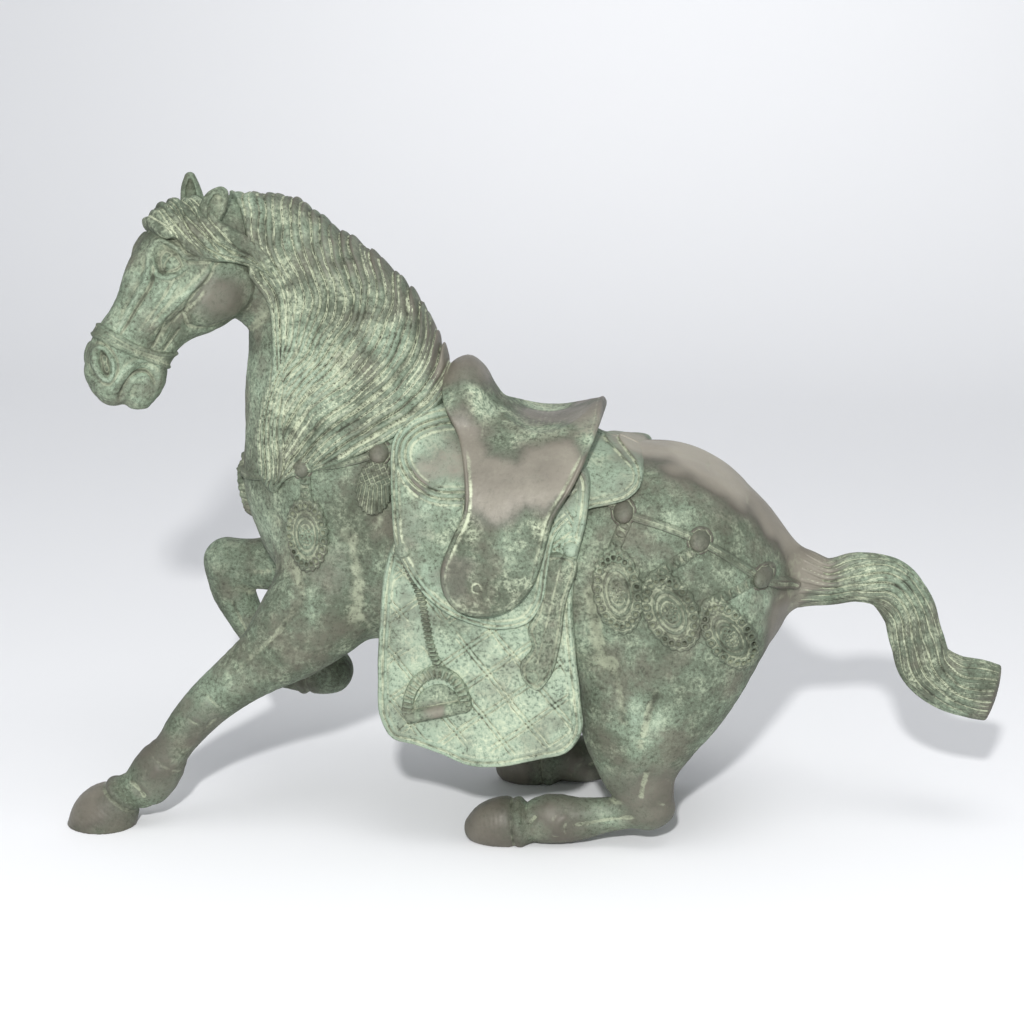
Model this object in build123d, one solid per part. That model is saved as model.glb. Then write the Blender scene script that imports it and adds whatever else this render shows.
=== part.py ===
"""Hollow-cast bronze horse statue, in the Tang style: a saddled horse rising from its folded hind legs.

Row frame, in millimetres: +Z up, the horse faces -X, its near (left) side is -Y.
The origin is on the floor, under the centre of the bounding box.
"""

import os
from functools import cache

from build123d import *

# ---------------------------------------------------------------- driving dimensions
WALL = 5.0  # bronze wall of the hollow sections
STRAP_THICK = 2.6  # harness straps stand this proud of the body
LEAF_THICK = 4.2  # harness pendants
BOSS_THICK = 7.0  # harness bosses
CLOTH_THICK = 4.0  # saddle cloth, its outer face this far off the drape form
FLAP_THICK = 4.0  # sweat flap, laid over the cloth
SADDLE_THICK = 7.0  # saddle skirt, laid over the sweat flap
HAIR_THICK = 4.5  # mane and forelock relief
SLEEVE_THICK = 4.0  # joint rings inside the hollow sections
SLEEVE_REACH = 12.0  # each ring reaches this far to both sides of its seam
DOWEL_RADIUS = 5.0
DOWEL_REACH = 18.0  # each dowel reaches this far to both sides of its seam

FOOT_Y = 59.0  # feet stand this far to each side of the midline
HEAD_YAW = 32.0  # degrees that the head is turned to the near side
HEAD_AXIS_X = -175.0  # the head turns about a vertical line here
FAR_OUT = 400.0  # cutting tools reach past everything
MIDLINE_GAP = 1.0  # left and right halves of the saddlery start this far off the midline

# Trunk: x, lowest z, highest z, half width
TRUNK = [
    (-200, 205, 280, 25),
    (-184, 172, 300, 44),
    (-150, 145, 308, 58),
    (-105, 126, 300, 69),
    (-50, 117, 284, 76),
    (5, 112, 274, 79),
    (60, 106, 275, 82),
    (105, 102, 270, 84),
    (142, 116, 246, 78),
    (166, 140, 226, 60),
    (180, 160, 206, 34),
]
# Neck above the trunk: throat x, z, crest x, z, half width
NECK = [
    (-188, 222, -46, 266, 56),
    (-199, 262, -64, 322, 50),
    (-200, 296, -92, 374, 40),
    (-200, 330, -140, 414, 31),
]
NECK_SEAM = 1  # the neck is cut from the trunk at this section
# Head, in its own upright plane: front s, z, back s, z, half width; s runs forward from the head axis
HEAD = [
    (22, 436, 22, 350, 25),
    (72, 434, 27, 364, 29),
    (97, 410, 42, 356, 30),
    (113, 385, 62, 347, 24),
    (127, 363, 75, 333, 20),
    (137, 345, 81, 320, 19),
    (138, 326, 87, 306, 18),
    (130, 306, 102, 297, 13),
]
# Limbs: x, y off the midline, z, radius in the side view, radius across
HIND_LIMB = [
    (104, 30, 210, 58, 44),
    (108, 42, 165, 60, 40),
    (98, 51, 122, 44, 33),
    (85, 57, 92, 31, 25),
    (83, FOOT_Y, 66, 22.5, 18),
    (88, FOOT_Y, 44, 19.5, 15),
    (90, FOOT_Y, 27, 14, 12),
]
HIND_SEAM = 3
HIND_CANNON = [
    (103, FOOT_Y, 33, 9, 9),
    (84, FOOT_Y, 26, 11.5, 12),
    (56, FOOT_Y, 22, 13, 12),
    (30, FOOT_Y, 19, 17.5, 15),
    (12, FOOT_Y, 18, 17, 15),
    (0, FOOT_Y, 14, 15, 15),
]
HIND_HOOF = [
    (8, FOOT_Y, 15, 15, 15),
    (-8, FOOT_Y, 13, 18, 17),
    (-24, FOOT_Y, 11, 15, 15),
    (-40, FOOT_Y, 8, 5, 7),
]
NEAR_FORE_LIMB = [
    (-112, 28, 226, 52, 34),
    (-122, 38, 188, 48, 30),
    (-146, 47, 153, 34, 25),
    (-172, 54, 130, 24, 20),
    (-196, FOOT_Y, 112, 18.5, 17),
    (-222, FOOT_Y, 89, 15.5, 14.5),
    (-243, FOOT_Y, 65, 13.5, 13),
    (-260, FOOT_Y, 40, 18, 15),
    (-274, FOOT_Y, 22, 13, 13),
    (-284, FOOT_Y, 13, 12, 12),
]
NEAR_FORE_SEAM = 3
FAR_FORE_UPPER = [
    (-118, 30, 220, 46, 32),
    (-136, 40, 188, 42, 29),
    (-170, 50, 168, 27, 23),
    (-204, 54, 161, 18, 17),
    (-228, 55, 160, 18, 17),
]
FAR_FORE_SEAM = 2
FAR_FORE_LOWER = [
    (-236, 55, 170, 10, 12),
    (-228, 55, 150, 18, 16),
    (-217, 55, 122, 14.5, 13.5),
    (-203, 55, 96, 12.5, 12.5),
    (-190, 55, 79, 14, 13),
    (-176, 55, 76, 11, 12),
]
FAR_FORE_HOOF = [
    (-180, 55, 76, 11, 12),
    (-168, 55, 78, 14.5, 16),
    (-154, 55, 80, 17, 19),
]
NEAR_FORE_HOOF = [
    (-274, FOOT_Y, 38, 12, 12),
    (-284, FOOT_Y, 22, 17, 16),
    (-298, FOOT_Y, 8, 25, 22),
    (-299, FOOT_Y, -6, 28, 24),
]
TAIL = [
    (164, 0, 184, 27, 18),
    (184, 0, 179, 21, 14),
    (204, 0, 177, 15.5, 11),
    (226, 0, 181, 16, 11),
    (246, 0, 177, 17, 12),
    (260, 0, 160, 17, 13),
    (267, 0, 138, 17, 14),
    (275, 0, 118, 18, 14),
    (292, 0, 107, 19, 14),
    (310, 0, 103, 20, 13),
    (324, 0, 100, 19, 9),
]
TAIL_SEAM_X, TAIL_SEAM_Z = 186.0, 179.0
HALF_LENGTH = 326.0  # the statue ends this far to both sides of its origin
# Round hole under the belly through which the core was taken out
CORE_HOLE_X, CORE_HOLE_RADIUS = 5.0, 12.0
TRUNK_MID_Z = 195.0
# Core that leaves the neck and head hollow, from inside the trunk to the cheeks
NECK_CORE = [
    (-118, 0, 236, 52, 40),
    (-124, 0, 280, 50, 40),
    (-140, 0, 326, 42, 32),
    (-164, 0, 364, 34, 24),
    (-186, -8, 388, 28, 18),
    (-212, -24, 392, 20, 14),
    (-236, -40, 378, 14, 11),
]
# Ears: tip and root as s, y, z, root radius, side
EARS = {
    "far_ear": ((55, 17, 455), (53, 15, 424), 9, 1),
    "near_ear": ((40, 21, 446), (52, 16, 424), 9, -1),
}
EAR_TAPER = 11.0  # degrees
NOSEBAND = [
    (140, 367), (119, 358), (105, 346), (91, 340), (70, 335),
    (70, 322), (92, 331), (105, 338), (120, 346), (145, 358),
]  # fmt: skip
# Seat: an arch over the back, its centre line, top and half width
SEAT_MID_Z, SEAT_TOP, SEAT_HALF_WIDTH = 258.0, 334.0, 52.0

# Drape form that the cloth, flap and saddle follow: x, half width at the girth
DRAPE = [(-110, 71), (-60, 77), (-10, 81), (40, 83), (90, 85)]
DRAPE_TOP, DRAPE_GIRTH, DRAPE_HEM = 286.0, 205.0, 40.0
CLOTH_BACKING_Z = 160.0  # down to here the cloth lies on the body, and below it hangs as a sheet
DRAPE_FLARE = 6.0  # the hem hangs this much further out than the girth

CLOTH = [
    (-78, 224), (-90, 160), (-95, 108), (-93, 88), (-86, 80), (-66, 79), (-48, 70),
    (-26, 64), (8, 67), (26, 72), (38, 80), (43, 96), (42, 112), (35, 150), (36, 190),
    (40, 235), (44, 262), (-66, 262),
]  # fmt: skip
FLAP = [
    (-40, 300), (-62, 300), (-78, 284), (-82, 262), (-78, 240), (-76, 210), (-58, 178), (-34, 164),
    (-12, 163), (10, 172), (24, 190), (30, 215), (44, 238), (66, 250), (78, 262), (74, 282), (60, 292),
]  # fmt: skip
SADDLE = [
    (-62, 318), (-55, 328), (-45, 331), (-36, 322), (-28, 307), (-20, 298), (-6, 293), (10, 293),
    (28, 297), (44, 303), (52, 303), (54, 290), (52, 276), (36, 256), (20, 235), (8, 214), (2, 194),
    (-4, 182), (-14, 173), (-26, 170), (-40, 175), (-50, 187), (-53, 200), (-46, 226), (-41, 250),
    (-44, 280),
]  # fmt: skip
MANE = [
    (-206, 460), (-196, 420), (-176, 372), (-168, 330), (-176, 290), (-182, 240), (-168, 236),
    (-140, 262), (-110, 272), (-80, 292), (-40, 310), (-40, 460),
]  # fmt: skip
FORELOCK = [
    (30, 460), (10, 396), (18, 384), (34, 396), (62, 404), (80, 410), (84, 436), (100, 450), (60, 470),
]  # fmt: skip

# Harness: pendants and bosses as x, z, radius along, radius across, lean in degrees
BREAST_LEAVES = {
    "breast_pendant_large": (-146, 218, 26, 16, 0),
    "breast_pendant_small": (-99, 252, 18, 12.5, 4),
}
BREAST_BOSSES = [(-147, 259, 6), (-94, 277, 6)]
RUMP_LEAVES = {
    "rump_pendant_front": (66, 190, 30, 17, -8),
    "rump_pendant_middle": (101, 178, 29, 18, -25),
    "rump_pendant_rear": (140, 160, 30, 15, -33),
}
RUMP_BOSSES = [(70, 239, 6.5), (119, 223, 6.5), (157, 198, 6)]
BREAST_STRAP = [(-86, 280), (-94, 277), (-147, 259), (-172, 252), (-196, 248)]
RUMP_STRAP = [(44, 254), (70, 239), (119, 223), (157, 198), (182, 180)]
STRAP_HALF = 3.2
CHEST_PENDANT = (232, 20, 13)  # z, radius up, radius across
LEATHER = [(-78, 206), (-66, 180), (-60, 150), (-55, 134)]
LEATHER_HALF = 3.5
STIRRUP = [(-54, 134), (-65, 129), (-72, 118), (-74, 98), (-36, 108), (-36, 120), (-43, 130)]
STIRRUP_HOLE = [(-54, 127), (-62, 123), (-67, 114), (-67, 106), (-42, 113), (-43, 119), (-47, 124)]
HANGING_STRAP = [(22, 212), (14, 180), (8, 150), (2, 126), (8, 116), (20, 128), (30, 160), (36, 212)]


# ---------------------------------------------------------------- shapes
def section_ring(x, low, high, half_width, grow=0.0):
    """An upright ellipse across the trunk."""
    plane = Plane(origin=(x, 0, (low + high) / 2), x_dir=(0, 1, 0), z_dir=(1, 0, 0))
    return plane * Ellipse(half_width + grow, (high - low) / 2 + grow)


@cache
def trunk(grow=0.0):
    """The barrel from chest to rump, its ends moved out with its skin."""
    first, last = TRUNK[0], TRUNK[-1]
    rings = [section_ring(first[0] - grow, *first[1:], grow)]
    rings += [section_ring(*station, grow) for station in TRUNK[1:-1]]
    rings.append(section_ring(last[0] + grow, *last[1:], grow))
    return loft(rings)


def span_plane(a, b):
    """The plane of a section that runs from a to b in the side view, its x along a to b, its z forward."""
    along = (Vector(b) - Vector(a)).normalized()
    return Plane(origin=(Vector(a) + Vector(b)) / 2, x_dir=along, z_dir=along.cross(Vector(0, 1, 0)))


def span_ring(a, b, half_width, grow=0.0):
    """An ellipse that runs from a to b in the side view."""
    return span_plane(a, b) * Ellipse((Vector(b) - Vector(a)).length / 2 + grow, half_width + grow)


def turn_head(shape):
    """Carries a shape from the head's own plane, where the head faces -X, to its turned place."""
    return Pos(HEAD_AXIS_X, 0, 0) * Rot(0, 0, HEAD_YAW) * Pos(-HEAD_AXIS_X, 0, 0) * shape


def head_ring(front_s, front_z, back_s, back_z, half_width, grow=0.0):
    """A section of the head before it is turned."""
    front = (HEAD_AXIS_X - front_s, 0, front_z)
    back = (HEAD_AXIS_X - back_s, 0, back_z)
    return span_ring(back, front, half_width, grow)


def neck_rings(grow=0.0):
    """The neck's sections, from its root in the trunk to the head's seam."""
    rings = [span_ring((x0, 0, z0), (x1, 0, z1), width, grow) for x0, z0, x1, z1, width in NECK]
    return [*rings, turn_head(head_ring(*HEAD[0], grow))]


@cache
def neck_root(grow=0.0):
    """The part of the neck below its seam, which belongs to the trunk."""
    return loft(neck_rings(grow)[: NECK_SEAM + 1], ruled=True)


@cache
def neck(grow=0.0):
    return loft(neck_rings(grow)[NECK_SEAM:], ruled=True)


@cache
def head(grow=0.0):
    return turn_head(loft([head_ring(*station, grow) for station in HEAD], ruled=True))


def limb(stations, side, grow=0.0):
    """A loft through ellipses square to the line through the stations, on the side -1 near or 1 far."""
    points = [Vector(x, side * y, z) for x, y, z, _, _ in stations]
    rings = []
    for i, (_, _, _, along, across) in enumerate(stations):
        heading = (points[min(i + 1, len(points) - 1)] - points[max(i - 1, 0)]).normalized()
        plane = Plane(origin=points[i], x_dir=heading.cross(Vector(0, 1, 0)), z_dir=heading)
        rings.append(plane * Ellipse(along + grow, across + grow))
    return loft(rings)


def seam_plane(stations, seam, side):
    """The plane of a limb's seam, its z pointing down the limb."""
    before, at, after = (Vector(x, side * y, z) for x, y, z, _, _ in stations[seam - 1 : seam + 2])
    return Plane(origin=at, x_dir=(after - before).cross(Vector(0, 1, 0)), z_dir=after - before)


def outwards(face, side):
    """A side-view face carried across: to the near side (-1), to the far side (1) or to both (0)."""
    start = MIDLINE_GAP * side if side else -FAR_OUT
    reach = FAR_OUT if side else 2 * FAR_OUT
    return extrude(Pos(0, start, 0) * face, amount=reach, dir=(0, side or 1, 0))


def prism(outline, side=0):
    return outwards(Plane.XZ * make_face(Polyline(*outline, close=True)), side)


def band(points, half_width, side=0):
    """A side-view line widened to a band."""
    return outwards(Plane.XZ * trace(Polyline(*points), 2 * half_width), side)


def oval(x, z, along, across, lean, side=0):
    """A side-view ellipse, its long axis leaning forward from upright by some degrees."""
    return outwards(Plane.XZ * Pos(x, z) * Rot(0, 0, lean) * Ellipse(across, along), side)


@cache
def drape(grow=0.0):
    """A rounded back with sides that hang down, which the saddlery follows."""
    rings = []
    for x, half in DRAPE:
        plane = Plane(origin=(x, 0, 0), x_dir=(0, 1, 0), z_dir=(1, 0, 0))
        crown = Pos(0, DRAPE_GIRTH) * Ellipse(half + grow, DRAPE_TOP - DRAPE_GIRTH + grow)
        upper = crown & Pos(0, DRAPE_GIRTH + FAR_OUT / 2) * Rectangle(FAR_OUT, FAR_OUT)
        hem = half + grow + DRAPE_FLARE
        girth = half + grow
        corners = [(-girth, DRAPE_GIRTH), (girth, DRAPE_GIRTH), (hem, DRAPE_HEM), (-hem, DRAPE_HEM)]
        skirt = make_face(Polyline(*corners, close=True))
        rings.append(plane * (upper + skirt))
    return loft(rings)


def dowel(plane):
    """A round dowel centred on a seam."""
    return plane * Pos(0, 0, -DOWEL_REACH) * extrude(Circle(DOWEL_RADIUS), amount=2 * DOWEL_REACH)


def seam_slab(plane):
    """A slab to both sides of a seam, as thick as a joint ring is long."""
    return plane * Box(FAR_OUT, FAR_OUT, 2 * SLEEVE_REACH)


def ground_cut(shape):
    """Cuts a shape flat where it stands on the floor."""
    return shape - Pos(0, 0, -FAR_OUT / 2) * Box(3 * FAR_OUT, FAR_OUT, FAR_OUT)


def beyond(x, sign):
    """All of space behind (1) or in front of (-1) an upright plane across the horse."""
    return Pos(x + sign * FAR_OUT, 0, 0) * Box(2 * FAR_OUT, 2 * FAR_OUT, 3 * FAR_OUT)


def above(z):
    return Pos(0, 0, z + FAR_OUT / 2) * Box(3 * FAR_OUT, 2 * FAR_OUT, FAR_OUT)


def head_outline(points):
    """A side view outline of the head, as s and z, turned into row x and z before the head is turned."""
    return [(HEAD_AXIS_X - s, z) for s, z in points]


def save():
    os.makedirs("parts", exist_ok=True)
    for name, shape in parts.items():
        export_step(shape, f"parts/{name}.step")


# ---------------------------------------------------------------- castings
SIDES = {"near": -1, "far": 1}
LIMB_ROOTS = {
    "near_hind_leg": (HIND_LIMB, HIND_SEAM, -1),
    "far_hind_leg": (HIND_LIMB, HIND_SEAM, 1),
    "near_fore_leg": (NEAR_FORE_LIMB, NEAR_FORE_SEAM, -1),
    "far_fore_leg": (FAR_FORE_UPPER, FAR_FORE_SEAM, 1),
}
parts = {}

neck_seam = span_plane((NECK[1][0], 0, NECK[1][1]), (NECK[1][2], 0, NECK[1][3]))
HEAD_SEAM_Z = (HEAD[0][1] + HEAD[0][3]) / 2
head_seam = turn_head(Plane(origin=(HEAD_AXIS_X - HEAD[0][0], 0, HEAD_SEAM_Z), z_dir=(-1, 0, 0)))
tail_seam = Plane(origin=(TAIL_SEAM_X, 0, TAIL_SEAM_Z), z_dir=(1, 0, 0))


@cache
def limb_top(name, grow=0.0):
    """The part of a limb above its seam, which belongs to the trunk."""
    stations, seam, side = LIMB_ROOTS[name]
    return limb(stations, side, grow) & limb_end(name, -1)


def limb_end(name, sign):
    """All of space below (1) or above (-1) a limb's seam."""
    return seam_plane(*LIMB_ROOTS[name]) * Pos(0, 0, sign * FAR_OUT / 2) * Box(FAR_OUT, FAR_OUT, FAR_OUT)


neck_solid = neck() - trunk()
head_solid = head() - neck_solid
limb_roots = [limb_top(name) for name in LIMB_ROOTS]
tail_root = limb(TAIL, 1) & beyond(TAIL_SEAM_X, -1)
horse = [trunk(), neck_root(), neck_solid, *limb_roots, tail_root]


def off_horse(shape):
    """Cuts the horse's own castings out of something laid on it."""
    for casting in horse:
        shape -= casting
    return shape


def laid_on(outline, thickness, *forms):
    """A skin of a given thickness over some of the horse's forms, inside an outline."""
    skins = [form(thickness) & outline for form in forms]
    skins = [skin for skin in skins if skin]
    return off_horse(sum(skins[1:], skins[0]))


def laid_on_head(outline, thickness):
    return (head(thickness) & turn_head(prism(head_outline(outline)))) - head_solid - neck_solid


# trunk: hollow, open at the neck and at the core hole under the belly
core = limb(NECK_CORE, 1)
cavity = loft([section_ring(*station, -WALL) for station in TRUNK[1:-1]])
core_hole = Pos(CORE_HOLE_X, 0, TRUNK_MID_Z - FAR_OUT / 2) * Cylinder(CORE_HOLE_RADIUS, FAR_OUT)
body = trunk() + neck_root()
for root in (*limb_roots, tail_root):
    body += root
parts["trunk"] = body - cavity - core - core_hole
parts["core_hole_plug"] = (trunk() & core_hole) - cavity

# neck and head: hollow over one core, joined by rings inside the seams
parts["neck"] = neck_solid - core
parts["head"] = head_solid - core
for name, seam in {"neck_joint_ring": neck_seam, "head_joint_ring": head_seam}.items():
    parts[name] = (core & seam_slab(seam)) - limb(NECK_CORE, 1, -SLEEVE_THICK)

# ears: cones set into the head
for name, (tip, root, radius, side) in EARS.items():
    ear_tip, ear_root = (Vector(HEAD_AXIS_X - s, side * y, z) for s, y, z in (tip, root))
    plane = Plane(origin=ear_root, z_dir=ear_tip - ear_root)
    cone = plane * extrude(Circle(radius), amount=(ear_tip - ear_root).length, taper=EAR_TAPER)
    parts[name] = turn_head(cone) - head_solid - neck_solid

# hair
parts["mane"] = laid_on(prism(MANE), HAIR_THICK, neck_root, neck)
parts["forelock"] = laid_on_head(FORELOCK, HAIR_THICK)
for part in ("near_ear", "far_ear", "mane"):
    parts["forelock"] -= parts[part]
parts["noseband"] = laid_on_head(NOSEBAND, STRAP_THICK)

# tail
parts["tail"] = limb(TAIL, 1) & beyond(TAIL_SEAM_X, 1) & beyond(HALF_LENGTH, -1)

# legs
for name, (stations, _, side) in LIMB_ROOTS.items():
    parts[name] = limb(stations, side) & limb_end(name, 1)
for side_name, side in SIDES.items():
    cannon = limb(HIND_CANNON, side)
    parts[f"{side_name}_hind_leg"] = ground_cut(parts[f"{side_name}_hind_leg"] + cannon)
    parts[f"{side_name}_hind_hoof"] = ground_cut(limb(HIND_HOOF, side)) - cannon
near_fore_hoof = ground_cut(limb(NEAR_FORE_HOOF, -1))
parts["near_fore_leg"] -= near_fore_hoof
parts["near_fore_hoof"] = near_fore_hoof & beyond(-HALF_LENGTH, 1)
parts["far_fore_leg"] += limb(FAR_FORE_LOWER, 1)
parts["far_fore_hoof"] = limb(FAR_FORE_HOOF, 1) - limb(FAR_FORE_LOWER, 1)

# dowels across the leg and tail seams
dowels = [dowel(seam_plane(*root)) for root in LIMB_ROOTS.values()]
for name, pin in zip(LIMB_ROOTS, dowels):
    parts[name] -= pin
    parts["trunk"] -= pin
parts["leg_dowels"] = Compound(children=dowels)
parts["tail_tenon"] = dowel(tail_seam)
parts["tail"] -= parts["tail_tenon"]
parts["trunk"] -= parts["tail_tenon"]

# ---------------------------------------------------------------- saddlery
sheet_inner, sheet_outer = drape(), drape(CLOTH_THICK)
flap_outer = drape(CLOTH_THICK + FLAP_THICK)
skirt_outer = drape(CLOTH_THICK + FLAP_THICK + SADDLE_THICK)
seat_profile = Plane.YZ * Pos(0, SEAT_MID_Z) * Ellipse(SEAT_HALF_WIDTH, SEAT_TOP - SEAT_MID_Z)
seat_arch = extrude(seat_profile, amount=FAR_OUT, both=True) & above(SEAT_MID_Z)
parts["saddle"] = (seat_arch & prism(SADDLE)) - flap_outer - parts["mane"]
for side_name, side in SIDES.items():
    cloth_prism = prism(CLOTH, side)
    backing = off_horse(sheet_inner & cloth_prism & above(CLOTH_BACKING_Z))
    cloth = (sheet_outer & cloth_prism) - sheet_inner + backing
    flap = off_horse(flap_outer & prism(FLAP, side)) - cloth
    skirt = (skirt_outer & prism(SADDLE, side)) - flap_outer - parts["saddle"]
    parts[f"{side_name}_saddle_cloth"] = cloth
    parts[f"{side_name}_sweat_flap"] = flap
    parts[f"{side_name}_saddle_skirt"] = skirt

# stirrups, on leathers over the cloth, and the strap ends that hang behind them
for side_name, side in SIDES.items():
    over_cloth = drape(CLOTH_THICK + STRAP_THICK)
    leather = (over_cloth & band(LEATHER, LEATHER_HALF, side)) - sheet_outer
    parts[f"{side_name}_stirrup_leather"] = leather - parts[f"{side_name}_sweat_flap"]
    strap = (over_cloth & prism(HANGING_STRAP, side)) - sheet_outer
    parts[f"{side_name}_hanging_strap"] = strap - parts[f"{side_name}_sweat_flap"]
    frame = prism(STIRRUP, side) - prism(STIRRUP_HOLE, side)
    stirrup = (drape(CLOTH_THICK + LEAF_THICK) & frame) - sheet_outer
    parts[f"{side_name}_stirrup"] = stirrup - leather

# ---------------------------------------------------------------- harness
FORE = (trunk, lambda grow: limb_top("near_fore_leg", grow), lambda grow: limb_top("far_fore_leg", grow))
HIND = (trunk, lambda grow: limb_top("near_hind_leg", grow), lambda grow: limb_top("far_hind_leg", grow))


def clear_of(shape, *names):
    for name in names:
        shape -= parts[name]
    return shape


def bosses(stations, forms, *neighbours):
    """Round bosses on both sides, as one node."""
    solids = []
    for x, z, radius in stations:
        for side in SIDES.values():
            boss = laid_on(oval(x, z, radius, radius, 0, side), BOSS_THICK, *forms)
            solids.append(clear_of(boss, *neighbours))
    return Compound(children=solids)


CLOTHS = ("near_saddle_cloth", "far_saddle_cloth", "near_sweat_flap", "far_sweat_flap")
for side_name, side in SIDES.items():
    for name, leaf in BREAST_LEAVES.items():
        parts[f"{side_name}_{name}"] = laid_on(oval(*leaf, side), LEAF_THICK, *FORE)
    for name, leaf in RUMP_LEAVES.items():
        parts[f"{side_name}_{name}"] = laid_on(oval(*leaf, side), LEAF_THICK, *HIND)
chest_z, chest_up, chest_across = CHEST_PENDANT
chest_face = Plane.YZ * Pos(0, chest_z) * Ellipse(chest_across, chest_up)
chest_prism = extrude(Pos(TRUNK[1][0], 0, 0) * chest_face, amount=FAR_OUT, dir=(-1, 0, 0))
parts["chest_pendant"] = laid_on(chest_prism, LEAF_THICK, *FORE)
parts["breast_bosses"] = bosses(BREAST_BOSSES, FORE, "mane", *CLOTHS)
parts["rump_bosses"] = bosses(RUMP_BOSSES, HIND, *CLOTHS)
breast = laid_on(band(BREAST_STRAP, STRAP_HALF), STRAP_THICK, *FORE)
parts["breast_strap"] = clear_of(breast, "breast_bosses", "chest_pendant", "mane", *CLOTHS)
for side_name, side in SIDES.items():
    rump = laid_on(band(RUMP_STRAP, STRAP_HALF, side), STRAP_THICK, *HIND)
    parts[f"{side_name}_crupper_strap"] = clear_of(rump, "rump_bosses", "tail", *CLOTHS)

save()
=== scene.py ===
"""Looks of the bronze horse statue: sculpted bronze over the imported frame.

Sizes are in millimetres until a mesh is made. The horse is a set of distance fields, which are negative inside. The
relief is a height over a flat view of them: the side view (x, z), the front view (y, z), or the turned head's own side
view (s, z), where s is the distance forward of the axis that the head turns about.
"""

import math

import bpy
import numpy as np
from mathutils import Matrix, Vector


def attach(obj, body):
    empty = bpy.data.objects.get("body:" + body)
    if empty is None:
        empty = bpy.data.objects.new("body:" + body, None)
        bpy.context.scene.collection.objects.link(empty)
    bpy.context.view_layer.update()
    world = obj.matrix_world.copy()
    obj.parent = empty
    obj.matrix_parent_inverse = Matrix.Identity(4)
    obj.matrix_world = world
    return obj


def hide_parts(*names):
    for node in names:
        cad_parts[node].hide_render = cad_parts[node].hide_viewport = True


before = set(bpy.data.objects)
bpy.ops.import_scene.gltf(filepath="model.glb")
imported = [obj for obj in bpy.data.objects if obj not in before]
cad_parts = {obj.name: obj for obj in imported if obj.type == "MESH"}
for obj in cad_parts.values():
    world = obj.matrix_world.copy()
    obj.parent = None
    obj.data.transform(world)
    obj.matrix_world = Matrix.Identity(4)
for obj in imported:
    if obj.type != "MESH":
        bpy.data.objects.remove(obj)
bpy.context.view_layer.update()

MM = 0.001
Y = np.array([0.0, 1.0, 0.0])
SIDES = {"near": -1.0, "far": 1.0}
CORNERS = [(a, b, c) for a in (0, 1) for b in (0, 1) for c in (0, 1)]  # of a grid cell


# ---------------------------------------------------------------- curves and noise
def curve(rows, count, closed=False):
    """Smooth curve through rows of numbers, as `count` rows spaced evenly along the chords of its first columns."""
    rows = np.asarray(rows, float)
    if closed:
        rows = np.vstack([rows[-2:], rows, rows[:3]])
    chord = np.linalg.norm(np.diff(rows[:, :3], axis=0), axis=1)
    u = np.concatenate([[0.0], np.cumsum(np.maximum(chord, 1e-6))])
    slope = np.gradient(rows, u, axis=0)
    start, end = (u[2], u[-3]) if closed else (0.0, u[-1])
    t = np.linspace(start, end, count + 1)[:-1] if closed else np.linspace(start, end, count)
    i = np.clip(np.searchsorted(u, t, side="right") - 1, 0, len(u) - 2)
    h = (u[i + 1] - u[i])[:, None]
    w = ((t - u[i])[:, None]) / h
    return (
        rows[i] * (1 + 2 * w) * (1 - w) ** 2
        + slope[i] * h * w * (1 - w) ** 2
        + rows[i + 1] * w**2 * (3 - 2 * w)
        + slope[i + 1] * h * w**2 * (w - 1)
    )


def lattice(i, j, k):
    """A fixed pseudo-random number between 0 and 1 for each whole-number place."""
    n = (i * 73856093) ^ (j * 19349663) ^ (k * 83492791)
    n = (n ^ (n >> 13)) * 1274126177
    return ((n ^ (n >> 16)) & 65535) / 65535.0


def noise(p, scale):
    """Smooth noise from -1 to 1 over points, with features about `scale` mm wide."""
    q = np.asarray(p, float) / scale
    base = np.floor(q).astype(np.int64)
    f = q - base
    f = f * f * (3 - 2 * f)
    total = 0.0
    for corner in CORNERS:
        weight = np.ones(len(q))
        for axis, d in enumerate(corner):
            weight = weight * (f[:, axis] if d else 1 - f[:, axis])
        total = total + weight * lattice(*(base + corner).T)
    return 2 * total - 1


def smoothstep(low, high, v):
    t = np.clip((v - low) / (high - low), 0, 1)
    return t * t * (3 - 2 * t)


# ---------------------------------------------------------------- distance fields
def blend(a, b, radius):
    """Union of two fields, filleted."""
    h = np.clip(0.5 + 0.5 * (b - a) / radius, 0, 1)
    return b + (a - b) * h - radius * h * (1 - h)


class Chain:
    """A limb: ellipses along a curve. Rows are x, y, z, radius in the side view, radius across."""

    NEARBY = 12.0  # further from its box than this, a chain's distance is only a lower bound

    def __init__(self, rows, count=18):
        rows = curve(rows, count)
        self.points = rows[:, :3]
        self.along, self.across = rows[:, 3], rows[:, 4]
        reach = max(self.along.max(), self.across.max())
        self.low, self.high = self.points.min(0) - reach, self.points.max(0) + reach

    def __call__(self, p):
        outside = np.maximum(np.maximum(self.low - p, p - self.high), 0)
        gap = np.sqrt((outside**2).sum(1))
        result = gap + self.NEARBY
        near = gap < self.NEARBY
        if near.any():
            result[near] = self.exact(p[near])
        return result

    def exact(self, p):
        best = np.full(len(p), 1e9)
        for i in range(len(self.points) - 1):
            a, b = self.points[i], self.points[i + 1]
            ab = b - a
            t = np.clip(((p - a) @ ab) / (ab @ ab), 0, 1)
            d = p - a - t[:, None] * ab
            along = self.along[i] + (self.along[i + 1] - self.along[i]) * t
            across = self.across[i] + (self.across[i + 1] - self.across[i]) * t
            flat = d[:, 0] ** 2 + d[:, 2] ** 2
            side = d[:, 1] ** 2
            size = np.sqrt(flat + side)
            k = np.sqrt(flat / along**2 + side / across**2) + 1e-9
            best = np.minimum(best, np.where(k < 1e-6, -np.minimum(along, across), size - size / k))
        return best


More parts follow.
